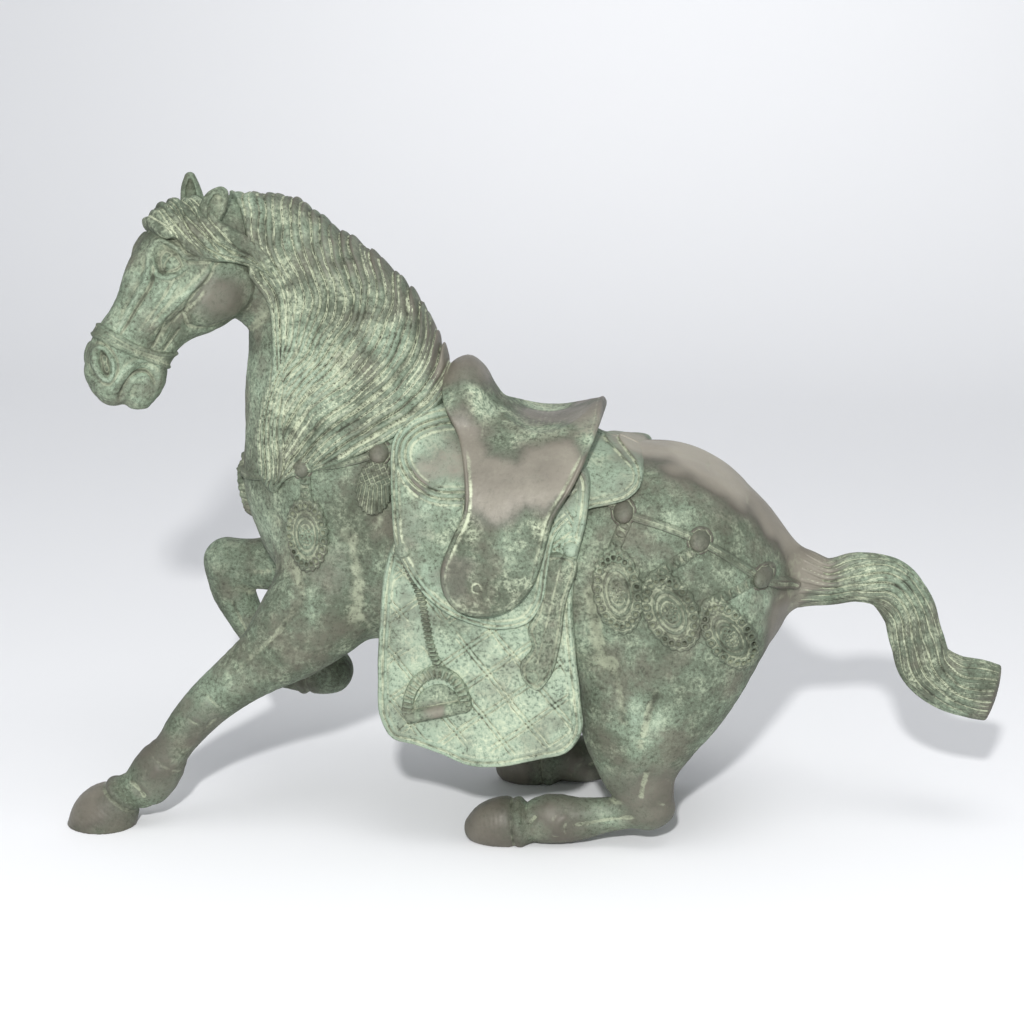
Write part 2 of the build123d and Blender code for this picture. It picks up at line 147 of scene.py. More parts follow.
def gradient(field, p, h=0.6):
    g = np.stack([field(p + h * axis) - field(p - h * axis) for axis in np.eye(3)], 1)
    return g / (2 * h)


def unit(v):
    return v / np.maximum(np.linalg.norm(v, axis=-1, keepdims=True), 1e-9)


COARSE = 4  # fine steps in one step of the rough grid
BAND = 1.9  # rough steps from the surface within which a field is worked out finely


def banded(field, low, high, step):
    """A field's values on a grid, exact beside its surface and rough elsewhere."""
    cells = np.ceil((np.asarray(high) - low) / (step * COARSE)).astype(int)
    axes = [low[a] + np.arange(cells[a] + 1) * step * COARSE for a in range(3)]
    rough = grid_values(field, axes)
    near = np.abs(rough) < step * COARSE * BAND
    hot = np.zeros(cells, bool)
    for dx, dy, dz in CORNERS:
        hot |= near[dx : dx + cells[0], dy : dy + cells[1], dz : dz + cells[2]]
    size = cells * COARSE + 1
    nearest = [np.minimum((np.arange(size[a]) + COARSE // 2) // COARSE, cells[a]) for a in range(3)]
    values = rough[np.ix_(*nearest)].copy()
    fine = hot[np.ix_(*[np.minimum(np.arange(size[a]) // COARSE, cells[a] - 1) for a in range(3)])]
    for axis in range(3):
        fine |= np.roll(fine, 1, axis)
    i, j, k = np.nonzero(fine)
    values[i, j, k] = in_batches(field, low + step * np.stack([i, j, k], 1))
    return values


def mesh_field(field, low, high, step):
    """Vertices and quads of a field's zero surface."""
    low = np.asarray(low, float)
    return surface_net(field, banded(field, low, high, step), low, step)


class Sampled:
    """A field kept on a grid beside its surface, and read back by interpolation."""

    def __init__(self, field, low, high, step):
        self.low, self.step = np.asarray(low, float), step
        self.values = banded(field, self.low, high, step)

    def __call__(self, p):
        top = np.array(self.values.shape) - 1
        q = (p - self.low) / self.step
        inside = np.clip(q, 0, top)
        gap = np.sqrt((((q - inside) * self.step) ** 2).sum(1))
        base = np.minimum(inside.astype(np.int64), top - 1)
        f = inside - base
        flat = self.values.ravel()
        rows, columns = self.values.shape[1:]
        start = (base[:, 0] * rows + base[:, 1]) * columns + base[:, 2]
        total = gap
        for dx, dy, dz in CORNERS:
            weight = (f[:, 0] if dx else 1 - f[:, 0]) * (f[:, 1] if dy else 1 - f[:, 1])
            weight = weight * (f[:, 2] if dz else 1 - f[:, 2])
            total = total + weight * flat[start + (dx * rows + dy) * columns + dz]
        return total


def in_batches(field, points, size=300000):
    """A field's values at points, worked out a batch at a time to spare memory."""
    return np.concatenate([field(points[n : n + size]) for n in range(0, len(points), size)])


def grid_values(field, axes):
    shape = [len(a) for a in axes]
    points = np.stack(np.meshgrid(*axes, indexing="ij"), -1).reshape(-1, 3)
    return in_batches(field, points).reshape(shape)


def surface_net(field, values, low, step):
    """One vertex in each cell that the surface crosses, and one quad for each grid edge that it crosses."""
    inside = values < 0
    shape = np.array(values.shape) - 1
    count = np.zeros(shape, np.uint8)
    for a, b, c in CORNERS:
        count += inside[a : a + shape[0], b : b + shape[1], c : c + shape[2]]
    cell = np.stack(np.nonzero((count > 0) & (count < 8)), 1)
    number = np.full(shape, -1, np.int64)
    number[tuple(cell.T)] = np.arange(len(cell))
    total = np.zeros((len(cell), 3))
    hits = np.zeros(len(cell))
    for first in CORNERS:
        for axis in range(3):
            if first[axis]:
                continue
            second = tuple(1 if n == axis else v for n, v in enumerate(first))
            va = values[tuple((cell + first).T)]
            vb = values[tuple((cell + second).T)]
            cross = (va < 0) != (vb < 0)
            t = np.where(cross, va / np.where(cross, va - vb, 1.0), 0.0)
            point = cell + np.array(first, float)
            point[:, axis] += t
            total += point * cross[:, None]
            hits += cross
    verts = low + step * total / hits[:, None]
    quads = []
    for axis in range(3):
        u, v = (axis + 1) % 3, (axis + 2) % 3
        a = np.take(inside, range(0, shape[axis]), axis)
        b = np.take(inside, range(1, shape[axis] + 1), axis)
        edge = np.stack(np.nonzero(a != b), 1)
        flip = a[tuple(edge.T)]
        keep = (edge[:, u] > 0) & (edge[:, v] > 0) & (edge[:, u] < shape[u]) & (edge[:, v] < shape[v])
        edge, flip = edge[keep], flip[keep]
        ring = []
        for du, dv in ((-1, -1), (0, -1), (0, 0), (-1, 0)):
            at = edge.copy()
            at[:, u] += du
            at[:, v] += dv
            ring.append(number[tuple(at.T)])
        ring = np.stack(ring, 1)
        ring[~flip] = ring[~flip][:, ::-1]
        quads.append(ring)
    for _ in range(2):
        g = gradient(field, verts)
        verts = verts - g * (np.clip(field(verts), -step, step) / np.maximum((g**2).sum(1), 0.25))[:, None]
    return verts, np.concatenate(quads)


# ---------------------------------------------------------------- the horse as a field
FOOT_Y = 59.0  # feet stand this far to each side
HEAD_YAW = math.radians(32.0)  # the head is turned to the near side
HEAD_AXIS_X = -175.0  # about an upright line here
YAW_COS, YAW_SIN = math.cos(HEAD_YAW), math.sin(HEAD_YAW)

TRUNK = Chain([
    (-148, 0, 236, 50, 48), (-118, 0, 223, 76, 63), (-68, 0, 207, 87, 75), (-8, 0, 194, 82, 79),
    (50, 0, 189, 84, 81), (85, 0, 186, 82, 82), (108, 0, 179, 74, 75),
])  # fmt: skip
NECK = Chain([
    (-120, 0, 262, 78, 56), (-127, 0, 292, 73, 48), (-134, 0, 331, 62.5, 38), (-151, 0, 364, 47.5, 30),
    (-186, 0, 387, 37.5, 25),
])  # fmt: skip
HAUNCH = Chain([(92, 34, 200, 62, 46), (104, 40, 160, 60, 43), (91, 50, 122, 55, 36), (81, 57, 90, 41, 28)])
HIND_SHANK = Chain([
    (82, 57, 90, 38, 26), (79, FOOT_Y, 62, 28, 19), (83, FOOT_Y, 44, 21, 15.5), (87, FOOT_Y, 29, 16, 13.5),
])  # fmt: skip
HIND_CANNON = Chain([
    (95, FOOT_Y, 29, 10, 11), (78, FOOT_Y, 25, 10.5, 11), (58, FOOT_Y, 22, 12, 11.5),
    (36, FOOT_Y, 18, 15.5, 13.5), (20, FOOT_Y, 17.5, 17.5, 15.5), (4, FOOT_Y, 14, 12.5, 13),
])  # fmt: skip
HIND_HOOF = Chain([
    (2, FOOT_Y, 12, 13, 14), (-9, FOOT_Y, 13, 18.5, 17.5), (-20, FOOT_Y, 11.5, 17, 16.5),
    (-29, FOOT_Y, 9, 11.5, 12),
])  # fmt: skip
SHOULDER = Chain([
    (-122, 30, 232, 50, 35), (-120, 37, 196, 48, 31), (-140, 44, 162, 36, 27), (-160, 50, 140, 27, 22),
])  # fmt: skip
NEAR_FOREARM = Chain([
    (-146, -46, 156, 34, 26), (-172, -54, 130, 24.5, 21), (-196, -FOOT_Y, 112, 19, 17.5),
    (-222, -FOOT_Y, 89, 16, 15), (-235, -FOOT_Y, 74, 14.5, 14), (-246, -FOOT_Y, 58, 13, 12.5),
    (-257, -FOOT_Y, 42, 17.5, 15), (-264, -FOOT_Y, 32, 17, 14.5), (-276, -FOOT_Y, 24, 12, 12.5),
], 26)  # fmt: skip
NEAR_FORE_HOOF = Chain([
    (-277, -FOOT_Y, 27, 11, 12.5), (-288, -FOOT_Y, 15, 17, 18), (-297, -FOOT_Y, 4, 23, 22),
    (-299, -FOOT_Y, -4, 24.5, 23),
])  # fmt: skip
FAR_FOREARM = Chain([
    (-136, 42, 190, 40, 28), (-168, 50, 170, 27, 23), (-204, 54, 161, 19, 17), (-228, 55, 161, 17.5, 16),
])  # fmt: skip
FAR_SHANK = Chain([
    (-231, 55, 163, 15, 14.5), (-228, 55, 146, 16, 14.5), (-217, 55, 120, 13.5, 12.5),
    (-204, 55, 98, 12, 11.5), (-192, 55, 81, 14, 13), (-180, 55, 76, 10.5, 12),
])  # fmt: skip
FAR_FORE_HOOF = Chain([
    (-182, 55, 76, 11, 12), (-170, 55, 78, 14.5, 16), (-158, 55, 80, 17, 18.5), (-155, 55, 80.5, 17, 18.5),
])  # fmt: skip
TAIL_ROOT = Chain([
    (150, 0, 190, 30, 24), (170, 0, 182, 25, 17), (190, 0, 179, 19, 13), (200, 0, 178, 16, 11),
])  # fmt: skip


def mirrored(p):
    """Folds the far side onto the +Y side."""
    q = p.copy()
    q[:, 1] = np.abs(q[:, 1])
    return q


FAR_HIND_SHIFT = 8.0  # the far hind leg is folded this much further back


def far_hind_shifted(q, side):
    """Moves places back to where the near hind leg's form lies, on the far side only, and more towards the foot."""
    q = q.copy()
    q[:, 0] -= FAR_HIND_SHIFT * smoothstep(140, 80, q[:, 2]) * (side > 0)
    return q


def torso(p):
    """Trunk, neck, limbs and tail root, down to the coronets."""
    q = mirrored(p)
    d = blend(TRUNK(p), NECK(p), 22)
    hind_place = far_hind_shifted(q, p[:, 1])
    d = blend(d, HAUNCH(hind_place), 16)
    d = blend(d, SHOULDER(q), 16)
    d = blend(d, TAIL_ROOT(p), 10)
    hind = blend(HIND_SHANK(hind_place), HIND_CANNON(hind_place), 5)
    d = blend(d, hind, 6)
    d = blend(d, NEAR_FOREARM(p), 10)
    return blend(d, blend(FAR_FOREARM(p), FAR_SHANK(p), 5), 10)


def to_head(p):
    """Turns row places into the head's own plane, where the head faces -X."""
    x, y = p[:, 0] - HEAD_AXIS_X, p[:, 1]
    return np.stack([HEAD_AXIS_X + x * YAW_COS + y * YAW_SIN, -x * YAW_SIN + y * YAW_COS, p[:, 2]], 1)


def on_head(rows):
    """Rows given as s forward of the head's axis, y, z, and two radii, as a Chain in the head's plane."""
    return Chain([(HEAD_AXIS_X - s, *rest) for s, *rest in rows])


SKULL = on_head([(4, 0, 398, 36, 25), (30, 0, 400, 37, 26), (56, 0, 397, 37, 27), (76, 0, 385, 30, 24)])
FACE = on_head([
    (62, 0, 396, 34, 25), (84, 0, 374, 27, 20), (102, 0, 355, 21, 16.5), (115, 0, 339, 20, 16),
    (120, 0, 326, 18, 16), (119, 0, 316, 13, 13),
])  # fmt: skip
CHEEK = on_head([(50, 0, 378, 27, 25.5), (56, 0, 374, 25, 25)])
FAR_BROW = on_head([(83, 13, 408, 6.5, 6), (87, 13, 404, 6, 5.5)])
JAW = on_head([
    (58, 0, 368, 20, 20), (78, 0, 350, 12, 14), (92, 0, 334, 12, 12), (97, 0, 318, 13.5, 12.5),
    (102, 0, 308, 10, 11),
])  # fmt: skip


def head(p):
    h = to_head(p)
    d = blend(SKULL(h), FACE(h), 10)
    d = blend(d, CHEEK(h), 4)
    d = blend(d, FAR_BROW(h), 3)
    return blend(d, JAW(h), 6)


def horse(p):
    """Everything but the hooves."""
    return blend(torso(p), head(p), 12)


SKIN = Sampled(horse, (-292, -98, -4), (212, 98, 452), 1.6)
HEAD_SKIN = Sampled(horse, (-308, -102, 288), (-158, 46, 456), 1.0)


# ---------------------------------------------------------------- flat charts, lines and outlines
def side_view(p):
    return p[:, 0], p[:, 2]


def front_view(p):
    return p[:, 1], p[:, 2]


def head_view(p):
    return HEAD_AXIS_X - to_head(p)[:, 0], p[:, 2]


class Chart:
    """A quantity over a flat view, kept on a grid and read back by interpolation."""

    def __init__(self, make, low, high, step=0.5):
        self.low, self.step = low, step
        u = np.arange(low[0], high[0] + step, step)
        v = np.arange(low[1], high[1] + step, step)
        uu, vv = np.meshgrid(u, v, indexing="ij")
        self.values = make(uu.ravel(), vv.ravel()).reshape(uu.shape)

    def __call__(self, u, v):
        a = np.clip((u - self.low[0]) / self.step, 0, self.values.shape[0] - 1.001)
        b = np.clip((v - self.low[1]) / self.step, 0, self.values.shape[1] - 1.001)
        i, j = a.astype(np.int64), b.astype(np.int64)
        a, b = a - i, b - j
        top = self.values[i, j] * (1 - a) + self.values[i + 1, j] * a
        return top * (1 - b) + (self.values[i, j + 1] * (1 - a) + self.values[i + 1, j + 1] * a) * b


def line_gap(u, v, line):
    """Distance to a line through points, its sign (positive on its right), and how far along it the nearest place is."""
    best, place, turn = np.full(u.shape, 1e9), np.zeros(u.shape), np.ones(u.shape)
    start = 0.0
    for (u0, v0), (u1, v1) in zip(line[:-1], line[1:]):
        du, dv = u1 - u0, v1 - v0
        length = max(math.hypot(du, dv), 1e-9)
        t = np.clip(((u - u0) * du + (v - v0) * dv) / length**2, 0, 1)
        gap = np.hypot(u - u0 - t * du, v - v0 - t * dv)
        closer = gap < best
        best = np.where(closer, gap, best)
        place = np.where(closer, start + t * length, place)
        turn = np.where(closer, (u - u0) * dv - (v - v0) * du, turn)
        start += length
    return best, np.where(turn >= 0, 1.0, -1.0), place


def smooth_line(points, count=40):
    return curve([(u, v, 0) for u, v in points], count)[:, :2]


def ring_distance(u, v, ring):
    """Signed distance to a closed ring of points, negative inside."""
    gap = line_gap(u, v, np.vstack([ring, ring[:1]]))[0]
    inside = np.zeros(u.shape, bool)
    for (u0, v0), (u1, v1) in zip(ring, np.roll(ring, -1, axis=0)):
        if v0 != v1:
            inside ^= ((v0 > v) != (v1 > v)) & (u < (u1 - u0) * (v - v0) / (v1 - v0) + u0)
    return np.where(inside, -gap, gap)


def outline(points, margin=14, count=120):
    ring = curve([(u, v, 0) for u, v in points], count, closed=True)[:, :2]
    return Chart(lambda u, v: ring_distance(u, v, ring), ring.min(0) - margin, ring.max(0) + margin, 0.8)


def oval(u0, v0, up, across, lean):
    """Local places, radius from 0 at the centre to 1 at the edge, and signed distance of a leaning ellipse."""
    c, s = math.cos(math.radians(lean)), math.sin(math.radians(lean))

    def measure(u, v):
        a = (u - u0) * c + (v - v0) * s
        b = -(u - u0) * s + (v - v0) * c
        r = np.hypot(a / across, b / up) + 1e-6
        size = np.hypot(a, b)
        return a, b, r, size - size / r

    return measure


def bump(gap, width):
    return np.exp(-((gap / width) ** 2))


def dome(r):
    return np.sqrt(np.clip(1 - r * r, 0, 1))


def rolled(edge, radius):
    """Rises from 0 at an outline to 1 a radius inside it, as a rounded edge."""
    return dome(1 - np.clip(-edge / radius, 0, 1))


def relief(base, view, edge, height, under=1.6, roll=2.0):
    """A field for something laid on a base field: as high as height(u, v) inside an outline, with rolled edges."""

    def field(p):
        u, v = view(p)
        rim = edge(u, v)
        d = base(p)
        return np.maximum(np.maximum(d - height(u, v) * rolled(rim, roll), -d - under), rim)

    return field


def one_side(field, side, gap=1.0):
    return lambda p: np.maximum(field(p), gap - p[:, 1] * side)


# ---------------------------------------------------------------- making pieces
def vertex_normals(verts, quads):
    a, b, c, d = (verts[quads[:, n]] for n in range(4))
    facing = np.cross(c - a, d - b)
    total = np.zeros_like(verts)
    for corner in range(4):
        for axis in range(3):
            total[:, axis] += np.bincount(quads[:, corner], facing[:, axis], len(verts))
    return unit(total)


def softened(values, quads, rounds):
    """Averages with the neighbours along the faces' edges, again and again."""
    a = quads.ravel()
    b = np.roll(quads, 1, axis=1).ravel()
    ends = np.concatenate([a, b])
    others = np.concatenate([b, a])
    count = np.maximum(np.bincount(ends, minlength=len(values)), 1)
    values = np.array(values, float)
    for _ in range(rounds):
        columns = [np.bincount(ends, column[others], len(values)) / count for column in values.T]
        values = np.stack(columns, 1)
    return values


def roughened(verts, quads, amount):
    """The uneven surface of a lost-wax casting."""
    wave = 0.55 * noise(verts, 11) + 0.3 * noise(verts, 5) + 0.22 * noise(verts, 2.4)
    return verts + vertex_normals(verts, quads) * (amount * wave)[:, None]


def piece(name, verts, faces, nodes, material, cast=0.22, worn=0.0):
    """A mesh object of the statue, with the measures that its patina and painted shade use: how deep each place lies
    in a fine recess (near) and in a broad one (wide), in mm, how far it is rubbed, with painted highlight and shade on
    that, and how pale its crust is. verts are in mm.
    """
    quads = np.asarray(faces, np.int64)
    verts = roughened(np.asarray(verts, float), quads, cast)
    verts[:, 2] = np.maximum(verts[:, 2], 0.0)
    normals = vertex_normals(verts, quads)
    near, wide = (((softened(verts, quads, rounds) - verts) * normals).sum(1) for rounds in (3, 12))
    mesh = bpy.data.meshes.new(name)
    mesh.from_pydata((verts * MM).tolist(), [], quads.tolist())
    mesh.update()
    mesh.polygons.foreach_set("use_smooth", [True] * len(mesh.polygons))
    rub_and_light = np.maximum(rubbed_and_painted_light(verts), worn)
    for key, values in {"near": near, "wide": wide, "rub_and_light": rub_and_light, "pale": paled(verts)}.items():
        layer = mesh.attributes.new(key, "FLOAT", "POINT")
        layer.data.foreach_set("value", values.astype(np.float32))
    mesh.materials.append(material)
    obj = bpy.data.objects.new(name, mesh)
    bpy.context.scene.collection.objects.link(obj)
    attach(obj, "root")
    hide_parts(*nodes)
    return obj


# Rubbed to brown bronze, with a painted highlight on the croup top and painted shade on the hind hocks: centre x, y
# off the midline, z, reach, strength
RUBBED_AND_PAINTED_LIGHT = [
    # croup; its top (strengths over 1) is painted brighter as a highlight where it faces the light
    (90, 0, 285, 66, 1.25),
    (125, 0, 262, 78, 1.35),
    (165, 0, 228, 62, 1.2),
    (186, 0, 190, 44, 1.0),
    (182, 30, 160, 44, 0.9),
    # saddle: pommel, seat, cantle, skirt
    (-50, 0, 325, 50, 0.95),
    (-42, 66, 285, 42, 1.0),
    (-18, 80, 262, 44, 1.0),
    (20, 76, 272, 50, 1.0),
    (48, 30, 305, 46, 0.95),
    (15, 0, 296, 40, 0.9),
    (-44, 92, 200, 22, 0.7),
    # the flap's panel
    (-62, 74, 270, 26, 1.0),
    (-72, 80, 225, 22, 0.6),
    # crest of the mane, poll
    (-100, 0, 424, 70, 0.62),
    (-170, 0, 446, 40, 0.5),
    (-70, 0, 372, 40, 0.55),
    (-55, 88, 102, 13, 1.0),
    # legs; the hind cannons and hocks are made darker partly as painted shade
    (-255, -59, 48, 40, 0.75),
    (-300, -59, 10, 42, 0.92),
    (-225, -59, 82, 34, 0.6),
    (-185, -59, 118, 30, 0.35),
    (-20, 59, 10, 40, 0.9),
    (30, 59, 16, 40, 0.75),
    (88, 59, 44, 50, 0.8),
    (-225, 56, 160, 30, 0.5),
    (-165, 56, 80, 30, 0.6),
    # tail, shoulder, chest
    (320, 0, 100, 26, 0.6),
    (-128, 66, 190, 30, 0.45),
    (-196, 20, 205, 34, 0.5),
]
CHEEK_SPOT = (-212, -38, 378)
NECK_X = -200  # behind this the rubbed places are the same on both sides


def spotted(table, places, wander, core):
    """How much of a table's spots reach each place, their rims moved by wander and full at a core share of the reach."""
    total = np.zeros(len(places))
    for x, y, z, reach, strength in table:
        gap = np.linalg.norm(places - (x, y, z), axis=1) + wander
        total = np.maximum(total, strength * smoothstep(reach, reach * core, gap))
    return total


def rubbed_and_painted_light(verts):
    """How far the patina is rubbed off: 0 not at all, 1 and more to polished bronze. It also carries painted light: a
    highlight on the croup top, and shade on the hind hocks and cannons.
    """
    folded = verts.copy()
    folded[:, 1] = np.where(verts[:, 0] > NECK_X, np.abs(verts[:, 1]), verts[:, 1])
    total = spotted(RUBBED_AND_PAINTED_LIGHT, folded, 7 * noise(verts, 14), 0.35)
    gap = np.linalg.norm(verts - np.array(CHEEK_SPOT), axis=1)
    return np.maximum(total, 0.8 * smoothstep(30, 16, gap))


# Pale crust of verdigris: centre x, y off the midline, z, reach, strength
PALE = [
    (6, 40, 284, 24, 1.0),
    (-30, 30, 300, 20, 0.9),
    (-10, 88, 110, 60, 0.8),
    (-60, 88, 120, 50, 0.6),
    (30, 88, 150, 50, 0.7),
    (-20, 60, 300, 24, 0.7),
    (-52, 62, 290, 16, 0.8),
    (55, 40, 290, 24, 0.9),
    (50, 80, 200, 40, 0.5),
    (-180, 30, 220, 40, 0.7),
    (-188, 30, 290, 60, 0.6),
    (-150, 40, 330, 50, 0.3),
    (-255, -59, 75, 30, 0.3),
]


def paled(verts):
    """How much pale crust lies on each place, from 0 to 1."""
    return spotted(PALE, mirrored(verts), 8 * noise(verts, 16), 0.3)


# ---------------------------------------------------------------- strokes modelled into the surface
def stroke_heights(strokes):
    """Heights over a flat view from strokes, each a line through points, a width and a height."""

    def make(u, v):
        total = np.zeros(u.shape)
        for points, width, height in strokes:
            line = smooth_line(points, 24)
            length = np.linalg.norm(np.diff(line, axis=0), axis=1).sum()
            gap, _, place = line_gap(u, v, line)
            fade = smoothstep(0, 0.2 * length, place) * smoothstep(length, 0.8 * length, place)
            total += height * bump(gap, width) * fade
        return total

    return make


HIND_STROKES = [
    ([(96, 128), (88, 108), (84, 90), (80, 72)], 5, -1.6),
    ([(60, 150), (66, 124), (70, 104), (72, 90)], 6, -1.8),
    ([(108, 60), (106, 46), (98, 34)], 5, 1.6),
    ([(88, 66), (84, 50), (82, 38)], 3, -1.4),
    ([(84, 26), (66, 24), (46, 20), (32, 18)], 2.4, -1.2),
    ([(80, 34), (62, 31), (44, 27), (30, 25)], 3, 0.9),
    ([(34, 26), (26, 20), (24, 10)], 3, 1.4),
    ([(12, 26), (6, 18), (4, 8)], 2.2, -1.4),
]
NEAR_FORE_STROKES = [
    ([(-150, 176), (-166, 150), (-186, 132), (-202, 116)], 4, -1.4),
    ([(-128, 150), (-150, 134), (-172, 118), (-190, 106)], 5, 1.2),
    ([(-212, 100), (-220, 92), (-226, 82)], 6, 1.6),
    ([(-208, 88), (-226, 70), (-240, 52)], 2.6, -1.3),
    ([(-216, 82), (-232, 62), (-246, 44)], 2.4, 1.0),
    ([(-250, 50), (-258, 42), (-270, 38)], 4, 1.2),
    ([(-262, 24), (-268, 32), (-276, 38)], 2.4, -1.4),
]
FAR_FORE_STROKES = [
    ([(-150, 186), (-172, 170), (-198, 160), (-216, 158)], 4, -1.2),
    ([(-226, 172), (-236, 164), (-238, 150)], 5, 1.4),
    ([(-226, 140), (-217, 118), (-206, 98)], 2.4, -1.2),
    ([(-204, 90), (-194, 82), (-188, 74)], 3.5, 1.2),
]
BODY_STROKES = [
    ([(-176, 236), (-158, 200), (-150, 172), (-152, 150)], 7, -1.8),
    ([(-118, 232), (-112, 200), (-112, 168), (-116, 146)], 8, -2.0),
    ([(-60, 122), (-20, 114), (20, 114), (50, 122)], 8, -1.2),
    ([(46, 200), (50, 170), (54, 144), (60, 124)], 7, -2.2),
    ([(128, 214), (146, 190), (148, 160), (138, 132)], 10, 1.4),
    ([(168, 210), (176, 190), (174, 168)], 5, -1.4),
]
LOWER_LEFT, UPPER_RIGHT = (-300, -4), (212, 452)
CARVED = {
    side: Chart(stroke_heights(BODY_STROKES + HIND_STROKES + fore_strokes), LOWER_LEFT, UPPER_RIGHT, 1.0)
    for side, fore_strokes in {"near": NEAR_FORE_STROKES, "far": FAR_FORE_STROKES}.items()
}

HEAD_STROKES = [
    # eyelids and the brow
    ([(52, 402), (64, 403), (74, 404), (79, 410), (86, 414), (93, 408), (96, 399), (97, 388)], 1.7, 2.6),
    ([(72, 399), (77, 395), (84, 391), (93, 393), (97, 398)], 1.4, 1.0),
    ([(70, 409), (78, 419), (90, 421), (98, 414)], 2.4, 1.4),
    ([(64, 408), (76, 413), (84, 419)], 1.5, -1.0),
    # long folds down the face
    ([(93, 405), (96, 388), (103, 375), (115, 357), (121, 350)], 1.7, -1.7),
    ([(95, 402), (100, 387), (108, 372), (118, 355), (123, 350)], 1.6, 1.5),
    ([(97, 406), (103, 391), (110, 376), (119, 361)], 2.2, -1.4),
    ([(78, 392), (86, 379), (97, 362), (106, 350)], 1.7, 1.3),
    ([(82, 390), (91, 373), (101, 358)], 2.4, -0.9),
    # cheek bone, and the crease below it
    ([(52, 401), (65, 388), (80, 374), (92, 361), (104, 349)], 2.3, 2.2),
    ([(58, 386), (67, 373), (81, 360), (92, 347)], 2.4, -1.9),
    # jaw
    ([(86, 362), (91, 349), (96, 341)], 1.4, -1.4),
    ([(81, 360), (87, 348), (92, 340)], 1.4, 1.2),
    ([(75, 357), (82, 346), (88, 338)], 1.4, -1.4),
    # mouth
    ([(120, 306), (114, 319), (107, 326), (100, 327), (95, 322), (92, 313)], 2.2, -2.6),
    ([(127, 312), (121, 324), (112, 332), (102, 335), (91, 331), (86, 320)], 2.0, 1.3),
    ([(104, 304), (103, 314), (103, 322)], 4.0, 1.0),
    ([(134, 322), (130, 314), (124, 308)], 2.0, 0.9),
]
EYE_SOCKET = outline([
    (92, 405), (88.5, 410), (85, 411.5), (81, 409), (76, 403), (75, 398.5), (78, 395), (86, 393), (91, 393.5),
    (92.5, 398),
], margin=8, count=80)  # fmt: skip
EYEBALL = oval(81, 398.5, 7.5, 6.0, 25)
NOSTRIL = oval(128.5, 334.5, 9.5, 4.2, -8)
CHEEK_RIM = outline([
    (53, 397), (45, 400), (36, 397), (28, 390), (25, 379), (27, 367), (36, 360), (48, 357), (60, 355), (70, 358),
    (72, 367), (67, 378), (59, 387),
], margin=10)  # fmt: skip


STROKE_GAIN, EYEBALL_HEIGHT, SOCKET_DEPTH, CHEEK_HEIGHT, NOSTRIL_DEPTH = 1.3, 2.6, 4.6, 1.8, 4.2


def head_heights(s, z):
    """The head's strokes, with its eye, the round cheek in its groove, and the nostril in its two rims."""
    total = STROKE_GAIN * stroke_heights(HEAD_STROKES)(s, z)
    total += EYEBALL_HEIGHT * dome(EYEBALL(s, z)[2]) - SOCKET_DEPTH * smoothstep(1.2, -2.4, EYE_SOCKET(s, z))
    rim = CHEEK_RIM(s, z)
    total += CHEEK_HEIGHT * smoothstep(0.5, -4.0, rim) - 1.4 * bump(rim - 1.6, 1.8)
    rim = NOSTRIL(s, z)[3]
    total += 2.0 * bump(rim - 1.2, 1.5) - 0.8 * bump(rim - 4.6, 1.4)
    return total - NOSTRIL_DEPTH * smoothstep(0.3, -2.4, rim)


HEAD_CARVED = Chart(head_heights, (0, 290), (150, 460), 0.5)


def carved(verts, quads, on_head=False):
    """Moves a casting's surface out and in along the strokes, where it faces sideways."""
    normals = vertex_normals(verts, quads)
    if on_head:
        across = np.abs(-normals[:, 0] * YAW_SIN + normals[:, 1] * YAW_COS)
        height = HEAD_CARVED(*head_view(verts))
    else:
        across = np.abs(normals[:, 1])
        x, z = side_view(verts)
        height = np.where(verts[:, 1] < 0, CARVED["near"](x, z), CARVED["far"](x, z))
    return verts + normals * (height * smoothstep(0.1, 0.5, across))[:, None]


# ---------------------------------------------------------------- castings
LAP, LAP_DEPTH = 3.0, 0.3  # how far a casting runs on under its neighbour, and how far below its skin
HEAD_SEAM_S, HEAD_LOWEST = 22.0, 300.0


def half_space(point, normal):
    """Distance past a plane, on the side its normal points to."""
    point, normal = np.array(point, float), unit(np.array(normal, float))
    return lambda p: (p - point) @ normal


def common(*fields):
    return lambda p: np.minimum.reduce([field(p) for field in fields])


def leg_region(point, normal, *limits):
    return common(half_space(point, normal), *[half_space(*limit) for limit in limits])


def hind_leg_region(side):
    """Below the seam across the shank, in front of the haunch and on one side."""
    return leg_region(
        (85, side * 57, 92), (-0.26, -side * 0.14, -0.96),
        ((20, 0, 100), (1, 0, -1)), ((0, 0, 140), (0, 0, -1)), ((0, side * 4, 0), (0, side, 0)),
    )  # fmt: skip


REGIONS = {
    "neck": half_space((-199, 0, 262), (-0.406, 0, 0.914)),
    "head": common(lambda p: head_view(p)[0] - HEAD_SEAM_S, half_space((0, 0, HEAD_LOWEST), (0, 0, 1))),
    "near_hind_leg": hind_leg_region(-1),
    "far_hind_leg": hind_leg_region(1),
    "near_fore_leg": leg_region(
        (-172, -54, 130), (-50, -12, -41), ((0, -20, 0), (0, -1, 0)), ((0, 0, 175), (0, 0, -1)),
    ),
    "far_fore_leg": leg_region(
        (-190, 53, 163), (-1, 0.1, -0.2), ((0, 28, 0), (0, 1, 0)), ((0, 0, 195), (0, 0, -1)), ((-170, 0, 0), (-1, 0, 0)),
    ),
}  # fmt: skip


def casting(own, *children, base=SKIN):
    """One casting of the horse: its own region, lapping a little under the castings joined to it."""

    def field(p):
        d = base(p)
        for child in children:
            beyond = REGIONS[child](p)
            d = np.maximum(d + LAP_DEPTH * smoothstep(0, 1.2, beyond), beyond - LAP)
        if own:
            d = np.maximum(d, -REGIONS[own](p))
        return np.maximum(d, -p[:, 2])

    return field


def hoof_field(chain, side, back):
    def field(p):
        q = p.copy()
        q[:, 1] *= side
        q[:, 0] -= back
        return np.maximum(chain(q), -p[:, 2])

    return field


